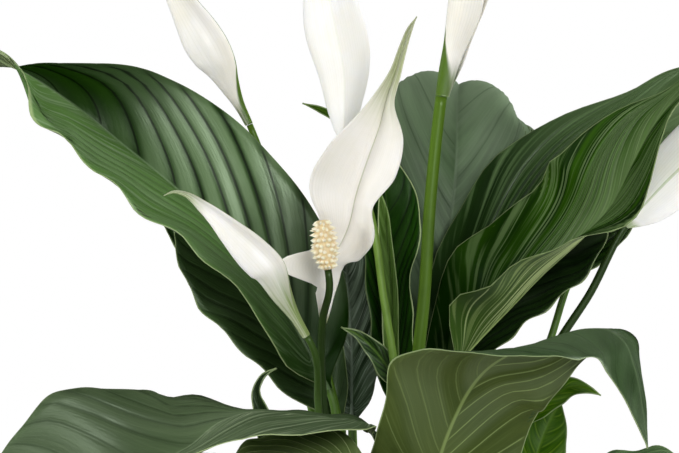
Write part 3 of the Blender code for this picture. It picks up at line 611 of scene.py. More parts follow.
# Each leaf: where its stalk stands (across, toward), its stalk's points, and its blade's stations
LEAVES = {
    "leaf_upper_left": dict(
        root=(-22, 12), rows=22, wave=2.5, waves=6, stalk=[(-27, 225, 12)], blade=[
            (-30, 300, 8, 4, 40, 0), (-41, 320, 4, 26, 50, -10), (-50, 336, 0, 40, 66, -18),
            (-71, 368, -8, 54, 72, -15), (-99, 402, -18, 59, 70, -10), (-131, 433, -25, 60, 65, 0),
            (-165, 461, -28, 54, 65, 0), (-197, 487, -24, 40, 58, -38), (-219, 502, -16, 22, 45, -70),
            (-231, 509, -10, 9, 88, -92), (-247, 517, -4, 8, 130, -135), (-270, 522, 0, 0, 150, -150)]),
    "leaf_left_shaded": dict(
        root=(-36, -14), rows=16, slot="leaf_shade", stalk=[(-29, 225, -22)], blade=[
            (-22, 278, -28, 4, 30, 0), (-41, 311, -36, (32, 26), 45, 0), (-61, 341, -44, (46, 38), 49, 5),
            (-86, 377, -52, (48, 44), 41, 0), (-110, 408, -56, 36, 46, -5), (-123, 424, -56, 18, 46, 0),
            (-130, 434, -54, 0, 46, 0)]),
    "leaf_lower_left": dict(
        root=(2, 36), rows=22, wave=0.8, stalk=[(6, 215, 40)], fold=(60, 0), blade=[
            (7, 258, 40, 4, 70, -70), (-6, 276, 46, 12, 80, -82), (-29, 281, 70, (34, 22), 83, -85),
            (-55, 284, 84, (46, 36), 77, -88), (-82, 285, 92, 52, 74, -86), (-103, 277, 97, 57, 76, -65),
            (-121, 262, 100, 60, 86, -50), (-146, 250, 101, (62, 60), 88, -36),
            (-163, 244, 101, (64, 61), 84, -26), (-179, 239, 101, (66, 61), 75, -10),
            (-194, 234, 100, 61, 68, -3), (-212, 228, 99, (54, 50)), (-238, 219, 98, 30),
            (-256, 212, 97, 0)]),
    "leaf_front": dict(
        root=(26, 46), rows=24, face=-1, wave=1.2, stalk=[(31, 185, 52)], blade=[
            (35, 215, 56, 4, 0, 0), (38, 235, 60, 36, -5, -5), (44, 260, 68, (44, 49), 20, -15),
            (52, 281, 74, (47, 50), 22, -22), (60, 297, 78, (55, 49), 24, -23),
            (72, 313, 86, (54, 44), 50, -18), (86, 323, 95, (52, 42), 72, -16),
            (104, 330, 106, (50, 34), 88, -25), (121, 336, 116, (46, 26), 99, -45),
            (139, 340, 126, (42, 29), 110, -80), (152, 339, 132, (37, 28), 125, -95),
            (163, 331, 137, (31, 25), 129, -106), (169, 316, 140, (26, 20), 129, -104),
            (173, 300, 142, (19, 15), 122, -100), (176, 281, 143, (12, 9), 114, -101),
            (179, 261, 142, 0, 115, -101)]),
    "leaf_right": dict(
        root=(24, 0), rows=24, waves=6, stalk=[(30, 215, 2)], fold=(-60, 75), blade=[
            (42, 294, 0, 4, -20, 60), (52, 315, -2, 26, -30, 90), (65, 330, -4, 42, -30, 124),
            (88, 354, -6, 54, -15, 112), (110, 377, -6, 58, -36, 103), (133, 398, -4, 57, -36, 94),
            (154, 421, 0, 52, -20, 76), (167, 447, 4, 42, -20, 67), (180, 471, 8, 28, -36, 75),
            (196, 491, 12, 16), (214, 506, 15, 8), (231, 514, 17, 0)]),
    "leaf_right_behind": dict(
        root=(30, -34), rows=18, slot="leaf_shade", stalk=[(37, 215, -46)], blade=[
            (46, 294, -54, 4, -20, 0), (52, 330, -58, 26, -30, 0), (68, 372, -64, 42, -38, -5),
            (94, 411, -68, 49, -36, -5), (123, 441, -70, 47, -34, -5), (153, 467, -68, 38, -52, -5),
            (179, 486, -64, 26, -52, -5), (205, 504, -60, 13, -50, 0), (224, 515, -58, 0, -50, 0)]),
    "leaf_right_under": dict(
        root=(38, -18), rows=14, slot="leaf_shade", stalk=[(44, 215, -24)], fold=(-10, 50), blade=[
            (56, 298, -30, 4, 0, 40), (64, 325, -32, 18), (80, 348, -35, 28, -10, 55),
            (102, 368, -38, 31, -10, 55), (124, 389, -40, 30), (142, 407, -41, 18), (153, 419, -41, 0)]),
    "leaf_back_centre": dict(
        root=(8, -50), rows=20, sideways=(1, 0, 0), wave=1.5, stalk=[(16, 215, -66)], blade=[
            (32, 281, -84, 4, 10, 10), (40, 333, -96, 34, 12, 12), (46, 384, -106, 52, 12, 12),
            (51, 424, -112, 60, 10, 10), (53, 462, -120, 60, 28, 18, -45), (53, 486, -132, 56, 45, 25, -90),
            (54, 498, -150, 50, 50, 26, -100), (54, 496, -176, 38, 40, 20, -90),
            (55, 484, -198, 20, 10, 0, -50), (56, 470, -214, 0, -20, -20)]),
    "leaf_inner": dict(
        root=(12, -26), rows=14, slot="leaf_shade", sideways=(1, 0, 0), wave=1.5, waves=4,
        stalk=[(14, 215, -34)], blade=[
            (16, 281, -38, 4, 30, 30), (14, 320, -42, 22, 45, 55), (12, 366, -46, 27, 50, 66),
            (9, 411, -46, 28, 50, 42), (6, 437, -42, 17, 50, 10), (5, 452, -38, 7, 40, 10),
            (4, 460, -36, 0, 40, 10)]),
    "leaf_upright_dark": dict(
        root=(-8, -34), rows=14, slot="leaf_shade", sideways=(1, 0, 0), stalk=[(-13, 215, -44)],
        fold=(10, 45), blade=[
            (-15, 275, -52, 4, 10, 20), (-15, 304, -58, 20, 15, 35), (-15, 333, -64, 30, 15, 40),
            (-17, 362, -67, 30, 10, 40), (-19, 388, -68, 20), (-21, 408, -66, 9), (-22, 420, -64, 0)]),
    "leaf_small_centre": dict(
        root=(24, 14), rows=8, wave=0.6, waves=3, neck=1.6, stalk=[(23, 230, 15)], fold=(30, 30), blade=[
            (16, 299, 16, 3, 20, 20), (8, 315, 18, 8.5), (-1, 327, 20, 6.5), (-11, 336, 20, 3.5),
            (-22, 341, 20, 0)]),
    "leaf_young_rolled": dict(
        root=(16, -10), rows=12, slot="leaf_young", sideways=(1, 0, 0), wave=0, neck=2.0,
        stalk=[(15, 230, -15)], fold=(50, 60), blade=[
            (14, 294, -18, 4), (12, 330, -19, 10, 50, 70), (11, 366, -20, 11, 50, 70),
            (8, 398, -20, 9, 50, 70), (5, 421, -19, 4.5), (3, 431, -18, 0)]),
    "leaf_young_tip": dict(
        root=(-8, -54), rows=12, slot="leaf_young", wave=0, neck=1.8,
        stalk=[(-12, 215, -68), (-15, 360, -80)], blade=[
            (-15, 385, -80, 4, 50, 50), (-13, 431, -80, 9, 55, 55), (-16, 463, -80, 7, 55, 55),
            (-24, 476, -81, 4.5, 55, 50), (-36, 483, -82, 3, 50, 40), (-47, 487, -83, 0, 50, 40)]),
    "leaf_furled_left": dict(
        root=(-38, 34), rows=12, slot="leaf_shade", wave=0.5, waves=3, neck=2.0, stalk=[(-49, 205, 28)],
        blade=[
            (-60, 245, 26, 5, 40, 50), (-69, 271, 25, 12, 50, 55), (-75, 289, 24, 8, 55, 60),
            (-77, 301, 24, 5, 55, 60), (-73, 309, 25, 2.5, 50, 50), (-64, 314, 26, 0, 50, 50)]),
    "leaf_small_right": dict(
        root=(40, 16), rows=8, slot="leaf_young", wave=0.5, waves=3, neck=1.6, stalk=[(62, 210, 22)],
        fold=(30, 30), blade=[
            (100, 277, 34, 3, 20, 20), (117, 296, 40, 9, 20, 30), (130, 302, 43, 7), (140, 300, 45, 3),
            (148, 296, 46, 0)]),
    "leaf_young_right": dict(
        root=(46, 32), rows=10, slot="leaf_young", wave=0.8, waves=3, neck=2.0, stalk=[(68, 190, 28)],
        fold=(5, 15), blade=[
            (92, 226, 22, 5, 0, 10), (104, 249, 22, 18, 5, 10), (110, 268, 22, 17), (116, 282, 22, 11),
            (122, 293, 22, 0)]),
    "leaf_low_right": dict(
        root=(46, -6), rows=14, sideways=(0, -1, 0.15), stalk=[(84, 200, -4)], blade=[
            (116, 224, 0, 4, 0, 0), (140, 240, 4, 30, 10, 5), (170, 250, 8, 42, 12, 0),
            (205, 249, 10, 40, 10, -5), (236, 234, 10, 24, 5, -5), (258, 208, 8, 0, 0, 0)]),
    "leaf_low_front": dict(
        root=(8, 58), rows=14, face=-1, stalk=[(-2, 195, 66)], blade=[
            (-9, 230, 72, 4, 20, -20), (-21, 247, 80, 26, 40, -44), (-41, 254, 88, 36, 50, -58),
            (-63, 252, 96, 36, 50, -58), (-84, 240, 101, 28, 50, -54), (-100, 225, 104, 14, 50, -60),
            (-109, 212, 105, 0, 50, -60)]),
    "leaf_back_left": dict(
        root=(-24, -34), rows=13, stalk=[(-33, 225, -58)], fold=(50, -35), blade=[
            (-45, 300, -92, 4, 20, -20), (-62, 340, -106, 30, 40, -30), (-84, 378, -120, 42),
            (-110, 412, -134, 42), (-132, 434, -146, 30), (-150, 446, -154, 14), (-162, 450, -158, 0)]),
    "leaf_back_right": dict(
        root=(44, -46), rows=13, stalk=[(76, 235, -60), (115, 334, -86)], fold=(-35, 30), blade=[
            (127, 372, -98, 4, -20, 20), (142, 400, -108, 22, -30, 30), (152, 430, -118, 30),
            (160, 456, -128, 28), (168, 474, -136, 16), (176, 486, -142, 0)]),
    "leaf_back_far": dict(
        root=(22, -62), rows=13, sideways=(1, 0, 0), stalk=[(34, 215, -92)], fold=(-10, -10), blade=[
            (46, 262, -126, 4, 0, 0), (48, 286, -150, 28, -5, -5), (50, 300, -178, 44),
            (50, 296, -208, 44, -12, -12), (50, 274, -234, 30, -12, -12), (50, 248, -250, 14),
            (50, 232, -256, 0)]),
    "leaf_back_low_left": dict(
        root=(-46, -32), rows=13, sideways=(0.55, 0.75, 0), stalk=[(-60, 200, -60)], fold=(-12, -12),
        blade=[
            (-78, 232, -86, 4, 0, 0), (-96, 250, -108, 28, -10, -10), (-120, 258, -136, 42),
            (-146, 250, -162, 40), (-168, 228, -184, 26), (-182, 200, -198, 0, -10, -10)]),
    "leaf_back_low_right": dict(
        root=(58, -30), rows=13, sideways=(0.6, -0.75, 0), stalk=[(80, 195, -60)], fold=(-10, -10), blade=[
            (102, 224, -88, 4, 0, 0), (122, 240, -112, 28, -8, -8), (150, 246, -138, 42),
            (178, 236, -162, 40), (200, 212, -182, 24), (212, 186, -194, 0)]),
    "leaf_low_left": dict(
        root=(-52, 6), rows=14, sideways=(0.1, 1, 0), stalk=[(-78, 190, 6)], fold=(-10, -10), blade=[
            (-104, 214, 4, 4, 0, 0), (-126, 228, 2, 26, -8, -8), (-156, 234, -2, 38), (-188, 226, -6, 36),
            (-212, 206, -10, 22), (-226, 184, -12, 0)]),
}

# Each flower: its stem's foot, the stem's points, its spathe and, where it shows, its spadix.
# The stem of a rolled flower ends at the spathe's foot; another's goes on to the spadix's foot.
FLOWERS = {
    "flower_open": dict(
        root=(-12, 22), radii=(3.2, 2.3), spadix=((-30.5, 379, 66), (-34.5, 411, 66), 9.5),
        stem=[(-25, 225, 22), (-33, 285, 26), (-34, 345, 47)],
        spathe=[
            (-34, 341, 42.4, 1.5, 0, 0), (-32, 353, 43, (5, 3.5), 8, 20), (-30.5, 362, 43, (8, 4.3), 8, 25),
            (-29.5, 367, 43, (9.5, 4.8), 8, 26), (-28.7, 370, 43, (21, 5), 8, 28),
            (-28.3, 374, 43, (30, 5.8), 7, 30), (-28.1, 379, 43.4, (33.5, 7), 6, 33),
            (-27.9, 382, 43.8, (32, 8.5), 6, 35), (-27.6, 384.5, 44.2, (24, 9.5), 8, 37),
            (-27.2, 386.5, 44.5, (17, 11), 10, 38), (-25, 391, 45, 14.5, 12, 40),
            (-22.8, 394.5, 46, (15, 18.5), 14, 40), (-19.9, 400, 47.5, (17, 22.5), 16, 44),
            (-17, 407, 49, (20, 28), 18, 50), (-12, 427, 52, (31, 30), 12, 66),
            (-4, 452, 56, (28, 31), 20, 52), (3, 472, 60, (19, 27), 25, 53), (8, 492, 62, (9, 14), 30, 70),
            (13, 507, 63, (4.5, 7), 30, 60), (18, 523, 62, (3, 4), 30, 50), (23, 536, 60, (1.8, 2), 30, 40),
            (27, 543, 59, 0, 30, 40)]),
    "flower_left": dict(
        root=(-24, 26), radii=(3.2, 2.2), fold=(-90, 90, 165),
        stem=[(-34, 225, 31), (-37, 290, 37)],
        spathe=[
            (-43, 336, 56, 6), (-50, 350, 58, 9), (-55, 365, 60, (16, 18)), (-60, 384, 62, (29, 32)),
            (-73, 398, 63, (28, 31)), (-91, 411, 63, (20, 22)), (-110, 423, 62, (9, 10)),
            (-122, 429, 60, 4, -90, 90, 150), (-131, 430, 58, 2, -90, 90, 120),
            (-137, 427, 56, 0, -90, 90, 90)]),
    "flower_top_left": dict(
        root=(-14, -16), radii=(3.2, 2.2), fold=(-90, 90, 165),
        stem=[(-16, 230, -16), (-26, 290, -20), (-39, 340, -29), (-55, 392, -39)],
        spathe=[
            (-80, 474, -47, 6), (-86, 489, -48, (10, 11)), (-89, 502, -48, (19, 21)),
            (-91, 515, -48, (32, 35)), (-95, 526, -48, (36, 39)), (-103, 539, -48, (35, 38)),
            (-114, 552, -48, (28, 31)), (-124, 564, -48, (20, 22)), (-132, 576, -47, (12, 13)),
            (-138, 588, -46, 6, -90, 90, 150), (-141, 599, -46, 0, -90, 90, 90)]),
    "flower_top_centre": dict(
        root=(8, 22), radii=(3.2, 2.2), spadix=((-21, 494, 9), (-25, 524, 8), 8), fold=(-15, -15, -70),
        stem=[(14, 240, 27), (13, 313, 30), (6, 359, 28), (-3, 416, 23), (-17, 458, 17), (-20, 474, 12)],
        spathe=[
            (-17, 458, 20.4, 2, 0, 0, -40), (-20, 470, 22, 9, -15, -15, -60), (-20, 483, 22, 18),
            (-20, 505, 22, (28, 27)), (-24, 528, 22, 31), (-29, 552, 21, (30, 29)),
            (-34, 575, 19, (22, 21), -15, -15, -65), (-40, 595, 16, (11, 10), -15, -15, -60),
            (-43, 612, 14, 3, 0, 0, -40), (-46, 622, 13, 0, 0, 0, 0)]),
    "flower_tall": dict(
        root=(20, 30), radii=(4.4, 3.7), fold=(90, -90, 165),
        stem=[(24, 240, 40), (28, 319, 45), (32, 359, 46), (36, 424, 46)],
        spathe=[
            (40, 492, 45, 11), (42, 508, 45, (15, 17)), (45, 526, 45, (20, 22)), (47, 545, 45, (30, 32)),
            (49, 564, 45, (33, 36)), (51, 584, 45, (29, 31)), (55, 601, 45, (19, 20)),
            (58, 616, 45, (8, 9), 90, -90, 150), (62, 629, 45, 0, 90, -90, 90)]),
    "flower_right": dict(
        root=(34, -6), radii=(3.4, 2.4), spadix=((183, 431, -35), (202, 454, -41), 7),
        stem=[(66, 230, -12), (101, 300, -18), (124, 338, -20), (139, 361, -20), (162, 406, -24),
              (170, 417, -28)],
        spathe=[
            (163, 407, -21.1, 2, 0, 0, -40), (175, 421, -20, (14, 21), -15, -10, -60),
            (187, 434, -21, (28, 32), -15, -15, -70), (199, 446, -22, (35, 36), -15, -22, -75),
            (215, 463, -23, (35, 33), -15, -30, -75), (231, 484, -24, (28, 27), -15, -25, -70),
            (243, 504, -25, (15, 14), -15, -20, -60), (252, 522, -26, 5, -10, -10, -40),
            (257, 534, -26, 0, 0, 0, 0)]),
}

EDGE = srgb(172, 190, 136)
GREEN_GLOSS = (0.84, 1.0, 0.78)


def tone(dark, light, vein, line, rough=0.4, shine=0.5, painted_light_wash=None):
    """The colours of a blade's face: its own two, its fibres and midrib, its lateral veins (a dark line is
    painted shade in their grooves), and the paler green of its painted light.
    """
    return dict(dark=srgb(*dark), light=srgb(*light), vein=srgb(*vein), line=srgb(*line),
                painted_light_wash=srgb(*(painted_light_wash or vein)), rough=rough, shine=shine)


def shades(*colours):
    """Some colours from their 0 to 255 screen values."""
    return tuple(srgb(*colour) for colour in colours)


UNDER_MID = tone((66, 80, 46), (80, 96, 56), (128, 146, 98), (134, 150, 100), 0.5)
UNDER_DARK = tone((34, 48, 28), (46, 62, 36), (92, 112, 76), (96, 116, 78), 0.45)
UNDER_OLIVE = tone((50, 66, 28), (66, 82, 36), (112, 130, 74), (124, 142, 84), 0.5)
UNDER_YOUNG = tone((56, 86, 16), (78, 108, 28), (124, 152, 66), (124, 152, 66), 0.5)
STALK_MID = shades((44, 66, 22), (74, 104, 40))
STALK_DARK = shades((38, 58, 22), (60, 84, 36))
STALK_LIGHT = shades((62, 88, 30), (84, 116, 44))

# Each kind of leaf: its upper face, its underside and its stalk's two greens
LEAF_TONES = {
    "mid": (tone((14, 38, 4), (40, 74, 16), (92, 124, 54), (5, 18, 2), 0.4, 0.4), UNDER_MID, STALK_MID),
    # The "big" leaf's vein green is also the colour of its painted sheen, and its last green that of its
    # painted light
    "big": (tone((11, 36, 0), (38, 74, 8), (122, 148, 106), (5, 18, 0), 0.38, 0.3, (108, 150, 78)),
            UNDER_MID, STALK_MID),
    # The "dark" and "behind" greens, with UNDER_DARK and STALK_DARK, are darker copies: painted shade for
    # leaves that lie in the shade of others
    "dark": (tone((14, 32, 6), (30, 54, 16), (70, 96, 54), (6, 18, 4), 0.36, 0.4),
             UNDER_DARK, STALK_DARK),
    # The "upright" greens are pale greys whose strong streaks paint glossy highlights on that leaf
    "upright": (tone((32, 48, 28), (104, 124, 100), (144, 160, 142), (16, 30, 14)),
                UNDER_DARK, STALK_DARK),
    "behind": (tone((12, 32, 4), (30, 56, 14), (94, 120, 76), (6, 18, 4), 0.36, 0.28),
               UNDER_DARK, STALK_DARK),
    "bright": (tone((10, 36, 0), (44, 82, 2), (112, 138, 86), (124, 150, 98), 0.5, 0.14),
               tone((44, 70, 18), (74, 102, 34), (150, 170, 104), (176, 192, 134), 0.5),
               shades((62, 88, 28), (86, 118, 42))),
    "grey": (tone((54, 78, 42), (82, 110, 66), (112, 136, 94), (40, 62, 30), 0.45, 0.35),
             {**UNDER_OLIVE, "shine": 0.35}, STALK_LIGHT),
    "lower": (tone((52, 72, 41), (77, 98, 63), (150, 166, 132), (38, 56, 29), 0.45, 0.24),
              UNDER_OLIVE, STALK_LIGHT),
    "pale": (tone((54, 78, 42), (82, 110, 66), (112, 136, 94), (40, 62, 30), 0.45, 0.35),
             tone((78, 96, 50), (98, 118, 64), (156, 170, 114), (156, 172, 116), 0.5), STALK_LIGHT),
    "back": (tone((32, 52, 25), (76, 101, 66), (126, 144, 117), (34, 54, 28), 0.6, 0.22),
             UNDER_OLIVE, STALK_LIGHT),
    "front": (tone((46, 66, 36), (66, 90, 54), (96, 118, 80), (34, 54, 26), 0.42, 0.45),
              tone((56, 70, 30), (76, 90, 40), (116, 134, 76), (126, 144, 86), 0.5, 0.35), STALK_LIGHT),
    "inner": (tone((12, 44, 2), (32, 74, 8), (58, 96, 24), (6, 24, 1), 0.45, 0.2),
              UNDER_DARK, STALK_DARK),
    "rolled": (tone((70, 100, 34), (112, 146, 72), (140, 170, 98), (84, 114, 44), 0.45, 0.22),
               UNDER_YOUNG, shades((50, 80, 18), (72, 104, 30))),
    "young": (tone((40, 76, 2), (64, 106, 3), (110, 148, 38), (98, 134, 30), 0.45, 0.2),
              UNDER_YOUNG, shades((62, 92, 26), (88, 122, 42))),
}

# How strongly each part of a leaf's pattern, painted shade, light and sheen among them, shows on its upper
# face and on its underside
LEAF_STYLE = dict(
    painted_panel_shade=0.5, streak=0.5, painted_light_wash=0.0, foot=0.5, shaded=0.4, fibre=0.15, width=0.8, main=0.7, pale=0.0,
    rib=0.35, rim=0.5, ripple=0.12, pebble=1.6, tip=0.0, tip_to="vein", tip_shine=1.0, band=0.15,
    spine=0.0, sheen=0.0)
UNDER_STYLE = dict(
    LEAF_STYLE, painted_panel_shade=0.15, streak=0.3, foot=0.2, fibre=0.1, width=0.5, main=0.9, rib=1.0, ripple=0.1,
    pebble=0.6, band=0.1)

# What a leaf's veins and colours are, unless it has its own
LEAF_LOOK = dict(tone="mid", veins=16, relief=1.0, keel=1.1, sweep=(0.62, 0.62), bend=1.15, fan=0.75,
                 halves=14, style={}, under={})
LEAF_LOOKS = {
    "leaf_upper_left": dict(
        tone="big", veins=14, relief=1.3, sweep=(0.9, 0.62),
        style=dict(painted_panel_shade=(0.3, 0.7), streak=(0.8, 0.4), painted_light_wash=(0.7, 0.06), fibre=(0.8, 0.0),
                   pale=(1.0, 0.0), rim=(0.6, 0.1), main=(0.4, 0.9), width=1.1, foot=(0.8, 1.0),
                   shaded=0.38, band=(0.2, 0.3), tip=(0.2, 0.85), tip_to="dark", tip_shine=0.05,
                   sheen=(0.0, 0.72))),
    "leaf_left_shaded": dict(
        tone="dark", veins=11, relief=1.4, style=dict(main=0.4, rib=0.2, painted_light_wash=0.75, fibre=0.4)),
    "leaf_lower_left": dict(
        tone="lower", veins=12, relief=1.6,
        style=dict(rim=(0.9, 0.1), pale=(1.0, 0.0), main=(0.8, 0.4), fibre=(0.5, 0.05), width=1.0,
                   band=0.05, painted_light_wash=0.12, tip=0.4, tip_to="dark")),
    "leaf_front": dict(
        tone="front", veins=14, relief=0.6, sweep=(0.5, 0.8), style=dict(painted_panel_shade=0.2, fibre=0.05, main=0.3),
        under=dict(main=(0.35, 0.75), width=0.6)),
    "leaf_right": dict(
        tone="bright", veins=16, relief=1.1, sweep=(0.95, 0.8), bend=0.75, fan=0.3, halves=40,
        style=dict(fibre=0.65, main=0.5, width=0.6, painted_panel_shade=0.7, streak=0.8, foot=1.0, shaded=0.6,
                   band=0.2, spine=(0.5, 0.0)),
        under=dict(fibre=(0.0, 0.6), painted_panel_shade=0.5, foot=0.9, main=(0.0, 1.0), width=0.8)),
    "leaf_right_behind": dict(
        tone="behind", veins=9, relief=1.6, sweep=(0.95, 0.7), bend=0.85, fan=0.45, halves=28,
        style=dict(fibre=0.5, rim=(0.3, 0.2), pale=1.0, main=0.5, tip=0.6, foot=1.0, shaded=0.6)),
    "leaf_right_under": dict(tone="dark", veins=12, relief=0.7, style=dict(main=0.3)),
    "leaf_back_centre": dict(
        tone="back", veins=9, relief=0.7,
        style=dict(painted_panel_shade=0.7, streak=1.0, main=0.3, rib=0.1, rim=(0.2, 0.1), ripple=0.0, foot=1.0,
                   shaded=0.66, tip=0.8)),
    "leaf_inner": dict(tone="inner", veins=12, relief=0.7, style=dict(rim=(0.3, 1.0))),
    "leaf_upright_dark": dict(
        tone="upright", veins=9, relief=1.2,
        style=dict(fibre=0.7, rim=(0.1, 0.1), streak=1.0, foot=1.0, shaded=0.55)),
    "leaf_small_centre": dict(veins=8, relief=0.4, keel=0.6, style=dict(rim=(0.6, 0.6), rib=0.8)),
    "leaf_young_rolled": dict(
        tone="rolled", veins=8, relief=0.2, keel=0.4, style=dict(main=0.2, rim=(1.0, 0.3), foot=1.0)),
    "leaf_young_tip": dict(tone="young", veins=8, relief=0.2, keel=0.4),
    "leaf_furled_left": dict(tone="dark", veins=9, relief=0.4, keel=0.6, style=dict(main=0.3)),
    "leaf_small_right": dict(tone="young", veins=8, relief=0.3, keel=0.5),
    "leaf_young_right": dict(tone="young", veins=9, relief=0.4, keel=0.5, style=dict(painted_panel_shade=0.2)),
    "leaf_low_front": dict(tone="pale", veins=12, relief=0.8),
    "leaf_low_right": dict(tone="grey", veins=12),
}

STEM_GREEN = shades((38, 64, 8), (76, 106, 26))
STEM_SHADED = shades((24, 44, 10), (52, 76, 26))
STEM_LIGHT = shades((62, 92, 24), (112, 142, 62))
STEM_DARK = shades((20, 38, 8), (36, 56, 16))
SPATHE_GREY = shades((239, 236, 231), (232, 229, 221), (150, 162, 98))
SPATHE_OLIVE = shades((254, 252, 247), (249, 245, 234), (120, 144, 62))
SPATHE_BRIGHT = shades((254, 253, 251), (252, 249, 242), (140, 166, 92))
SPATHE_LEAFY = shades((248, 245, 238), (242, 238, 226), (76, 108, 12))

# Each flower's looks: its spathe's green at foot, tip and midrib, its spathe's and stem's colours
FLOWER_LOOKS = {
    "flower_open": ((0.06, 0.62, 0.05, 0.4), SPATHE_GREY, STEM_DARK),
    "flower_left": ((0.42, 0.74, 0.5, 0.8), SPATHE_OLIVE, STEM_SHADED),
    "flower_top_left": ((0.14, 0.92, 0.6, 1.0), SPATHE_LEAFY, STEM_GREEN),
    "flower_top_centre": ((0.05, 0.9, 0.04, 0.08), SPATHE_BRIGHT, STEM_LIGHT),
    "flower_tall": ((0.2, 0.92, 0.9, 1.0), SPATHE_LEAFY, STEM_GREEN),
    "flower_right": ((0.05, 0.9, 0.04, 0.5), SPATHE_BRIGHT, STEM_DARK),
}


def blade_grid(rows, halves):
    """Row shares and side positions of a blade's grid, closer together near the midrib."""
    outward = (np.arange(halves + 1) / halves) ** 1.5
    side = np.concatenate([-outward[:0:-1], outward])
    return np.meshgrid(np.linspace(0, 1, rows + 1), side, indexing="ij")


def veined(thin, look, seed):
    """A leaf's blade with raised veins: its row shares, its two faces and its layers' numbers."""
    at_vein, side = blade_grid(look["veins"] * VEIN_ROWS, look["halves"])
    share = np.abs(side)
    phase = at_vein * look["veins"] + 0.5 * (side < 0)
    start = at_vein ** VEIN_CROWDING
    reach = np.where(side < 0, *look["sweep"]) * (1 - start) * np.sin(
        np.pi / 2 * np.clip(at_vein / look["fan"], 0, 1))
    along = start + reach * share ** look["bend"]
    valley = np.sqrt(np.abs(np.sin(np.pi * phase))) - VEIN_LEVEL
    spread = smoothstep(share / 0.14) * (1 - 0.65 * smoothstep((share - 0.7) / 0.3))
    spread = spread * bulge(along, 0.4)
    swell = np.sin(along * 17 + side * 2.1 + seed) * np.sin(side * 5.3 + along * 9 + 2 * seed)
    relief = look["relief"] * valley * spread + 0.8 * look["relief"] * swell * share * spread
    width = np.where(side < 0, *thin.shape(along)[:2])
    from_rib, from_rim = share * width, (1 - share) * width
    taper = 1 - 0.75 * along
    keel = look["keel"] * taper * np.exp(-(from_rib / KEEL_WIDTH) ** 2)
    groove = GROOVE_DEPTH * taper * np.exp(-(from_rib / GROOVE_WIDTH) ** 2)
    upper, lower = thin.faces(along, side, relief, groove, keel)
    onward, outward = np.gradient(upper, axis=0), np.gradient(upper, axis=1)
    outward = outward / np.maximum(np.linalg.norm(outward, axis=-1, keepdims=True), 1e-6)
    apart = np.linalg.norm(np.cross(onward, outward), axis=-1) * VEIN_ROWS
    layers = {"veins": (phase, share), "blade": (along, side), "span": (from_rib, from_rim),
              "gap": (apart, share)}
    return at_vein[:, 0], upper, lower, layers


def leaf(name, root, stalk, blade, rows, fold=(), slot="leaf", face=1, sideways=None, wave=2.0,
         waves=5, neck=NECK_RADIUS):
    """A stalk that stands in the soil and its blade, with its veins sunk in the upper face."""
    stations = full_stations(blade, fold)
    points = root_points(root) + [sighted(*p) for p in stalk] + [sighted(*s[:3]) for s in stations]
    route = Route(points, sideways)
    thin = Blade(route, stations, face, BLADE_THICK, wave, waves)
    look = {**LEAF_LOOK, **LEAF_LOOKS.get(name, {})}
    seed = (sum(map(ord, name)) % 97) / 7
    at_vein, upper, lower, layers = veined(thin, look, seed)

    # The stalk's rings, and the blade's, which open from a round foot
    columns = 2 * look["halves"]
    closed = round_rings(route, thin.start + thin.span * at_vein, np.full(len(at_vein), neck), face,
                         columns)
    along = layers["blade"][0]
    opened = smoothstep(folded(along, along) / (OPENING / rows))[..., None]
    blade_rings = closed * (1 - opened) + folded(upper, lower) * opened
    surface = route.knots[ROOT_POINTS - 1]
    places = np.concatenate([[0.0], np.linspace(surface, thin.start, STALK_ROWS)[:-1]])
    radii = FOOT_RADIUS + (neck - FOOT_RADIUS) * smoothstep(places / thin.start)
    rings = np.concatenate([round_rings(route, places, radii, face, columns), blade_rings])
    count = rings.shape[1]

    # Each face's material: 0 above, 1 underneath and 2 on the stalk
    sides = [0 if j <= columns or j == count - 1 else 1 for j in range(count)]
    kinds = [2] * (count * len(places)) + sides * (len(blade_rings) - 1) + [2, 0]
    on_stalk = stalk_grid(places / thin.start, count)
    layers = {layer: [np.concatenate([low, folded(part, part)]) for low, part in zip(on_stalk, parts)]
              for layer, parts in layers.items()}

    upper_tone, under_tone, greens = LEAF_TONES[look["tone"]]
    style = {**LEAF_STYLE, **look["style"]}
    under = {**UNDER_STYLE, "rim": style["rim"], **look["under"]}
    looks = [
        leaf_look(f"{name}_upper", seed, upper_tone, style),
        leaf_look(f"{name}_under", seed, under_tone, under),
        stalk_look(f"{name}_stalk", seed, *greens),
    ]
    add_piece(name, slot, rings, ring_faces(len(rings), count), looks, kinds, layers)


def stem(name, points, radii, low, high):
    """A round stem through the points, from the soil to its top."""
    route = Route(points)
    surface = route.knots[ROOT_POINTS - 1]
    places = np.concatenate([[0.0], np.linspace(surface, route.length, STEM_ROWS)])
    radii = radii[0] + (radii[1] - radii[0]) * places / route.length
    rings = round_rings(route, places, radii, 1, STEM_COLUMNS)
    count = rings.shape[1]
    add_piece(name, "stem", rings, ring_faces(len(rings), count),
              [stalk_look(f"{name}_skin", len(name), low, high)],
              layers={"blade": stalk_grid(places / route.length, count)})


def spathe(name, stations, looks, colours):
    """The white bract of a flower; returns the middle of its foot and the way it grows there."""
    route = Route([sighted(*s[:3]) for s in stations])
    thin = Blade(route, stations, face=1, thick=SPATHE_THICK, wave=SPATHE_WAVE, waves=3)
    along, side = blade_grid(SPATHE_ROWS, SPATHE_HALVES)
    share = np.abs(side)
    veins = 0.12 * np.sin(side * SPATHE_VEINS * math.pi) * bulge(along, 0.5)
    swell = 0.5 * np.sin(along * 13 + side * 3 + len(name)) * share * bulge(along, 0.5)
    keel = 0.5 * (1 - along) * np.exp(-(share / 0.03) ** 2)
    rings = folded(*thin.faces(along, side, veins + swell, 0.0, keel))
    add_piece(name, "spathe", rings, ring_faces(len(rings), rings.shape[1]),
              [spathe_look(f"{name}_skin", len(name), *colours, *looks)],
              layers={"blade": (folded(along, along), folded(side, side))})
    return rings[0].mean(axis=0), route.frames[0][3:6]


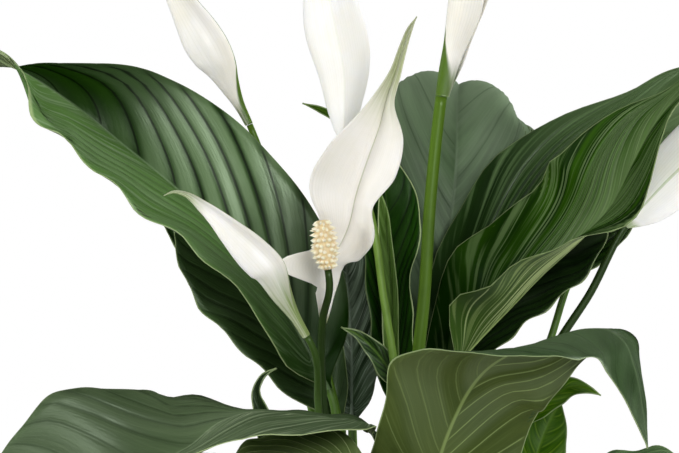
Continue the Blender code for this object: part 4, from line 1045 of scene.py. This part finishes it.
def spadix(name, foot, tip, radius):
    """The flower's cream spike, covered in pointed bumps that stand in staggered rows."""
    ahead = unit(tip - foot)
    right = unit(np.cross(ahead, (0, -1, 0)))
    front = np.cross(right, ahead)
    columns = SPADIX_AROUND * BUMP_COLUMNS
    up, turn = np.meshgrid(np.linspace(0, 1, SPADIX_ROWS * BUMP_ROWS + 1), np.arange(columns) / columns,
                           indexing="ij")
    row = up * SPADIX_ROWS
    cell = turn * SPADIX_AROUND + 0.5 * (np.floor(row) % 2)
    lean = 0.17 * np.sin(7.0 * np.floor(row) + 3.0 * np.floor(cell))
    from_peak = np.hypot(row % 1 - 0.5 - lean, cell % 1 - 0.5 + lean) * 2
    proud = np.clip(1 - from_peak, 0, 1)
    bump = radius * BUMP_SHARE
    body = (radius - bump) * np.sin(np.pi * (SPADIX_FOOT + SPADIX_SPAN * up)) ** SPADIX_PLUMP
    size = 0.85 + 0.15 * np.sin(11.0 * np.floor(row) + np.floor(cell))
    reach = body + bump * size * (1.45 * proud ** 0.95 - 0.25)
    angle = turn * math.tau
    points = (foot + ahead * (np.linalg.norm(tip - foot) * up)[..., None]
              + (reach * np.cos(angle))[..., None] * right + (reach * np.sin(angle))[..., None] * front)
    add_piece(name, "spadix", points, ring_faces(len(points), columns), [spadix_look(f"{name}_skin")],
              layers={"bumps": (proud, up)})


def turned(profile, sides):
    """Rings of points about the upright axis, through a profile of (radius, height) points."""
    profile = np.array(profile, float)
    turns = np.arange(sides) * math.tau / sides
    return np.stack([profile[:, :1] * np.cos(turns), profile[:, :1] * np.sin(turns),
                     np.repeat(profile[:, 1:], sides, axis=1)], -1)


def wall_radius(height):
    """The pot's outer radius below its rim, at a height over its foot."""
    return POT_FOOT_RADIUS + (POT_TOP_RADIUS - RIM_PROUD - POT_FOOT_RADIUS) / POT_HEIGHT * height


def rounded(points, radius, steps=5):
    """The points with each corner rounded off."""
    points = [np.array(p, float) for p in points]
    out = [points[0]]
    for before, corner, after in zip(points, points[1:], points[2:]):
        back, on = before - corner, after - corner
        cut = min(radius, np.linalg.norm(back) * 0.45, np.linalg.norm(on) * 0.45)
        start, end = corner + unit(back) * cut, corner + unit(on) * cut
        for t in np.linspace(0, 1, steps):
            out.append(start * (1 - t) ** 2 + corner * 2 * t * (1 - t) + end * t * t)
    return out + [points[-1]]


def pot():
    rim_foot = POT_HEIGHT - RIM_HEIGHT
    corners = [
        (AXIS_RADIUS, 0), (POT_FOOT_RADIUS, 0), (wall_radius(rim_foot), rim_foot),
        (POT_TOP_RADIUS - 0.5, rim_foot + 0.5), (POT_TOP_RADIUS, POT_HEIGHT),
        (POT_TOP_RADIUS - RIM_PROUD - POT_WALL, POT_HEIGHT),
        (wall_radius(FLOOR_THICK) - POT_WALL, FLOOR_THICK), (AXIS_RADIUS, FLOOR_THICK),
    ]
    points = turned(rounded(corners, POT_ROUNDING), POT_SIDES)
    add_piece("pot", "pot", points, ring_faces(len(points), POT_SIDES), [pot_look("pot_clay")])


def crumb(across, deep, height, size, seed):
    """The points of a loose crumb: three rings about its middle."""
    points = []
    for up, ring in ((-0.8, 0.5), (0.0, 1.0), (0.75, 0.6)):
        for j in range(CRUMB_SIDES):
            turn = j * math.tau / CRUMB_SIDES + seed
            push = size * ring * (1 + 0.35 * math.sin(seed * (j + 3) + up * 5))
            points.append((across + push * math.cos(turn), deep + push * math.sin(turn),
                           height + size * 0.7 * up))
    return points


def soil(stalks):
    """The soil's crumbly top and its plain side, with loose crumbs lying on it."""
    edge = wall_radius(SOIL_TOP) - POT_WALL - GAP
    low = FLOOR_THICK + GAP
    side = [(AXIS_RADIUS, low), (wall_radius(low) - POT_WALL - GAP, low), (edge, SOIL_TOP - 1)]
    top = [(edge * share, SOIL_TOP + SOIL_DOME * (1 - share ** 2) - 1)
           for share in np.linspace(1, 0.01, SOIL_RINGS)[1:]]
    points = turned(side + top, SOIL_SIDES).reshape(-1, 3)
    faces = ring_faces(len(side + top), SOIL_SIDES)
    for point in points[len(side) * SOIL_SIDES:]:
        where = Vector(point * (1, 1, 0))
        lumps = SOIL_LUMPS * noise.fractal(where * 0.09, 0.8, 2.0, 4)
        point[2] += lumps + SOIL_GRAIN * noise.noise(where * 0.5)
    points = points.tolist()
    draw = random.Random(CRUMB_SEED)
    for _ in range(CRUMBS):
        radius = edge * 0.97 * math.sqrt(draw.random())
        turn = draw.random() * math.tau
        across, deep = radius * math.cos(turn), radius * math.sin(turn)
        if any(math.hypot(across - a, deep + t) < FOOT_RADIUS + CRUMB_CLEARANCE for a, t in stalks):
            continue
        size = draw.choice(CRUMB_SIZES)
        height = SOIL_TOP + SOIL_DOME * (1 - (radius / edge) ** 2) - 1 + size * 0.35
        base = len(points)
        points += crumb(across, deep, height, size, draw.random() * 90)
        faces += [tuple(base + corner for corner in face) for face in ring_faces(3, CRUMB_SIDES)]
    add_piece("soil", "soil", points, faces, [soil_look("soil_peat")])


def plant():
    for name, given in LEAVES.items():
        leaf(name, **given)
    for name, given in FLOWERS.items():
        looks, colours, greens = FLOWER_LOOKS[name]
        stations = full_stations(given["spathe"], given.get("fold", ()))
        end, ahead = spathe(f"{name}_spathe", stations, looks, colours)
        if "spadix" in given:
            foot, tip, radius = given["spadix"]
            end, tip = sighted(*foot), sighted(*tip)
            ahead = unit(tip - end)
            spadix(f"{name}_spadix", end, tip, radius)
        points = root_points(given["root"]) + [sighted(*p) for p in given["stem"]]
        points += [end - ahead * STRAIGHT_END, end - ahead * GAP]
        stem(f"{name}_stem", points, given["radii"], *greens)


def stage():
    """A pale floor: a wide flat disc with a faint grain."""
    look = Look("floor_paper", 0.9, 0.2)
    grain = look.noise(look.place(), 300.0, 2.0)
    look.give("Base Color", look.mix(grain, (0.84, 0.84, 0.84), (0.88, 0.88, 0.88)))
    turns = [i * math.tau / FLOOR_SIDES for i in range(FLOOR_SIDES)]
    points = [(FLOOR_RADIUS * math.cos(a), FLOOR_RADIUS * math.sin(a), 0) for a in turns]
    add_mesh("floor", points, [tuple(range(FLOOR_SIDES))], [look.material])


def area_light(name, place, size, power, diffuse=True, glossy=True):
    light = bpy.data.lights.new(name, "AREA")
    light.shape = "DISK"
    light.size = size
    light.energy = power
    lamp = bpy.data.objects.new(name, light)
    lamp.location = place
    lamp.visible_diffuse = diffuse
    lamp.visible_glossy = glossy
    lamp.rotation_euler = (Vector(LIGHT_AIM) - Vector(place)).to_track_quat("-Z", "Y").to_euler()
    bpy.context.scene.collection.objects.link(lamp)


def studio():
    """White surroundings, which light the plant only a little, and its lamps."""
    world = bpy.data.worlds.new("studio")
    world.use_nodes = True
    tree = world.node_tree
    soft, seen = tree.nodes["Background"], tree.nodes.new("ShaderNodeBackground")
    for background, strength in ((soft, SOFT_LIGHT), (seen, 1.0)):
        background.inputs["Color"].default_value = (1.0, 1.0, 1.0, 1.0)
        background.inputs["Strength"].default_value = strength
    path = tree.nodes.new("ShaderNodeLightPath")
    both = tree.nodes.new("ShaderNodeMixShader")
    for source, socket in ((path.outputs["Is Camera Ray"], both.inputs[0]),
                           (soft.outputs[0], both.inputs[1]), (seen.outputs[0], both.inputs[2]),
                           (both.outputs[0], tree.nodes["World Output"].inputs["Surface"])):
        tree.links.new(source, socket)
    bpy.context.scene.world = world
    area_light("key", (0.57, -1.76, 1.1), 0.9, 20)
    area_light("fill", (-1.3, -1.5, 0.9), 1.2, 6)
    area_light("left", (-1.9, -0.2, 0.8), 1.0, 24, glossy=False)
    area_light("right", (1.9, 0.5, 0.5), 1.3, 22, glossy=False)
    area_light("back", (0.8, 1.5, 1.5), 1.2, 34, glossy=False)
    area_light("sheen", (0.5, -1.8, 1.0), 1.3, 50, diffuse=False)
    bpy.context.scene.view_settings.view_transform = "Standard"


def camera():
    lens = bpy.data.cameras.new("camera")
    lens.lens = LENS
    lens.sensor_width = SENSOR
    view = bpy.data.objects.new("camera", lens)
    view.location = (EYE_ACROSS * MM, -EYE_DISTANCE * MM, CAMERA_UP * MM)
    view.rotation_euler = (math.radians(CAMERA_TILT), 0, 0)
    bpy.context.scene.collection.objects.link(view)
    bpy.context.scene.camera = view


def main():
    plant()
    soil([given["root"] for given in [*LEAVES.values(), *FLOWERS.values()]])
    pot()
    stage()
    studio()
    camera()
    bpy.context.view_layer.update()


main()
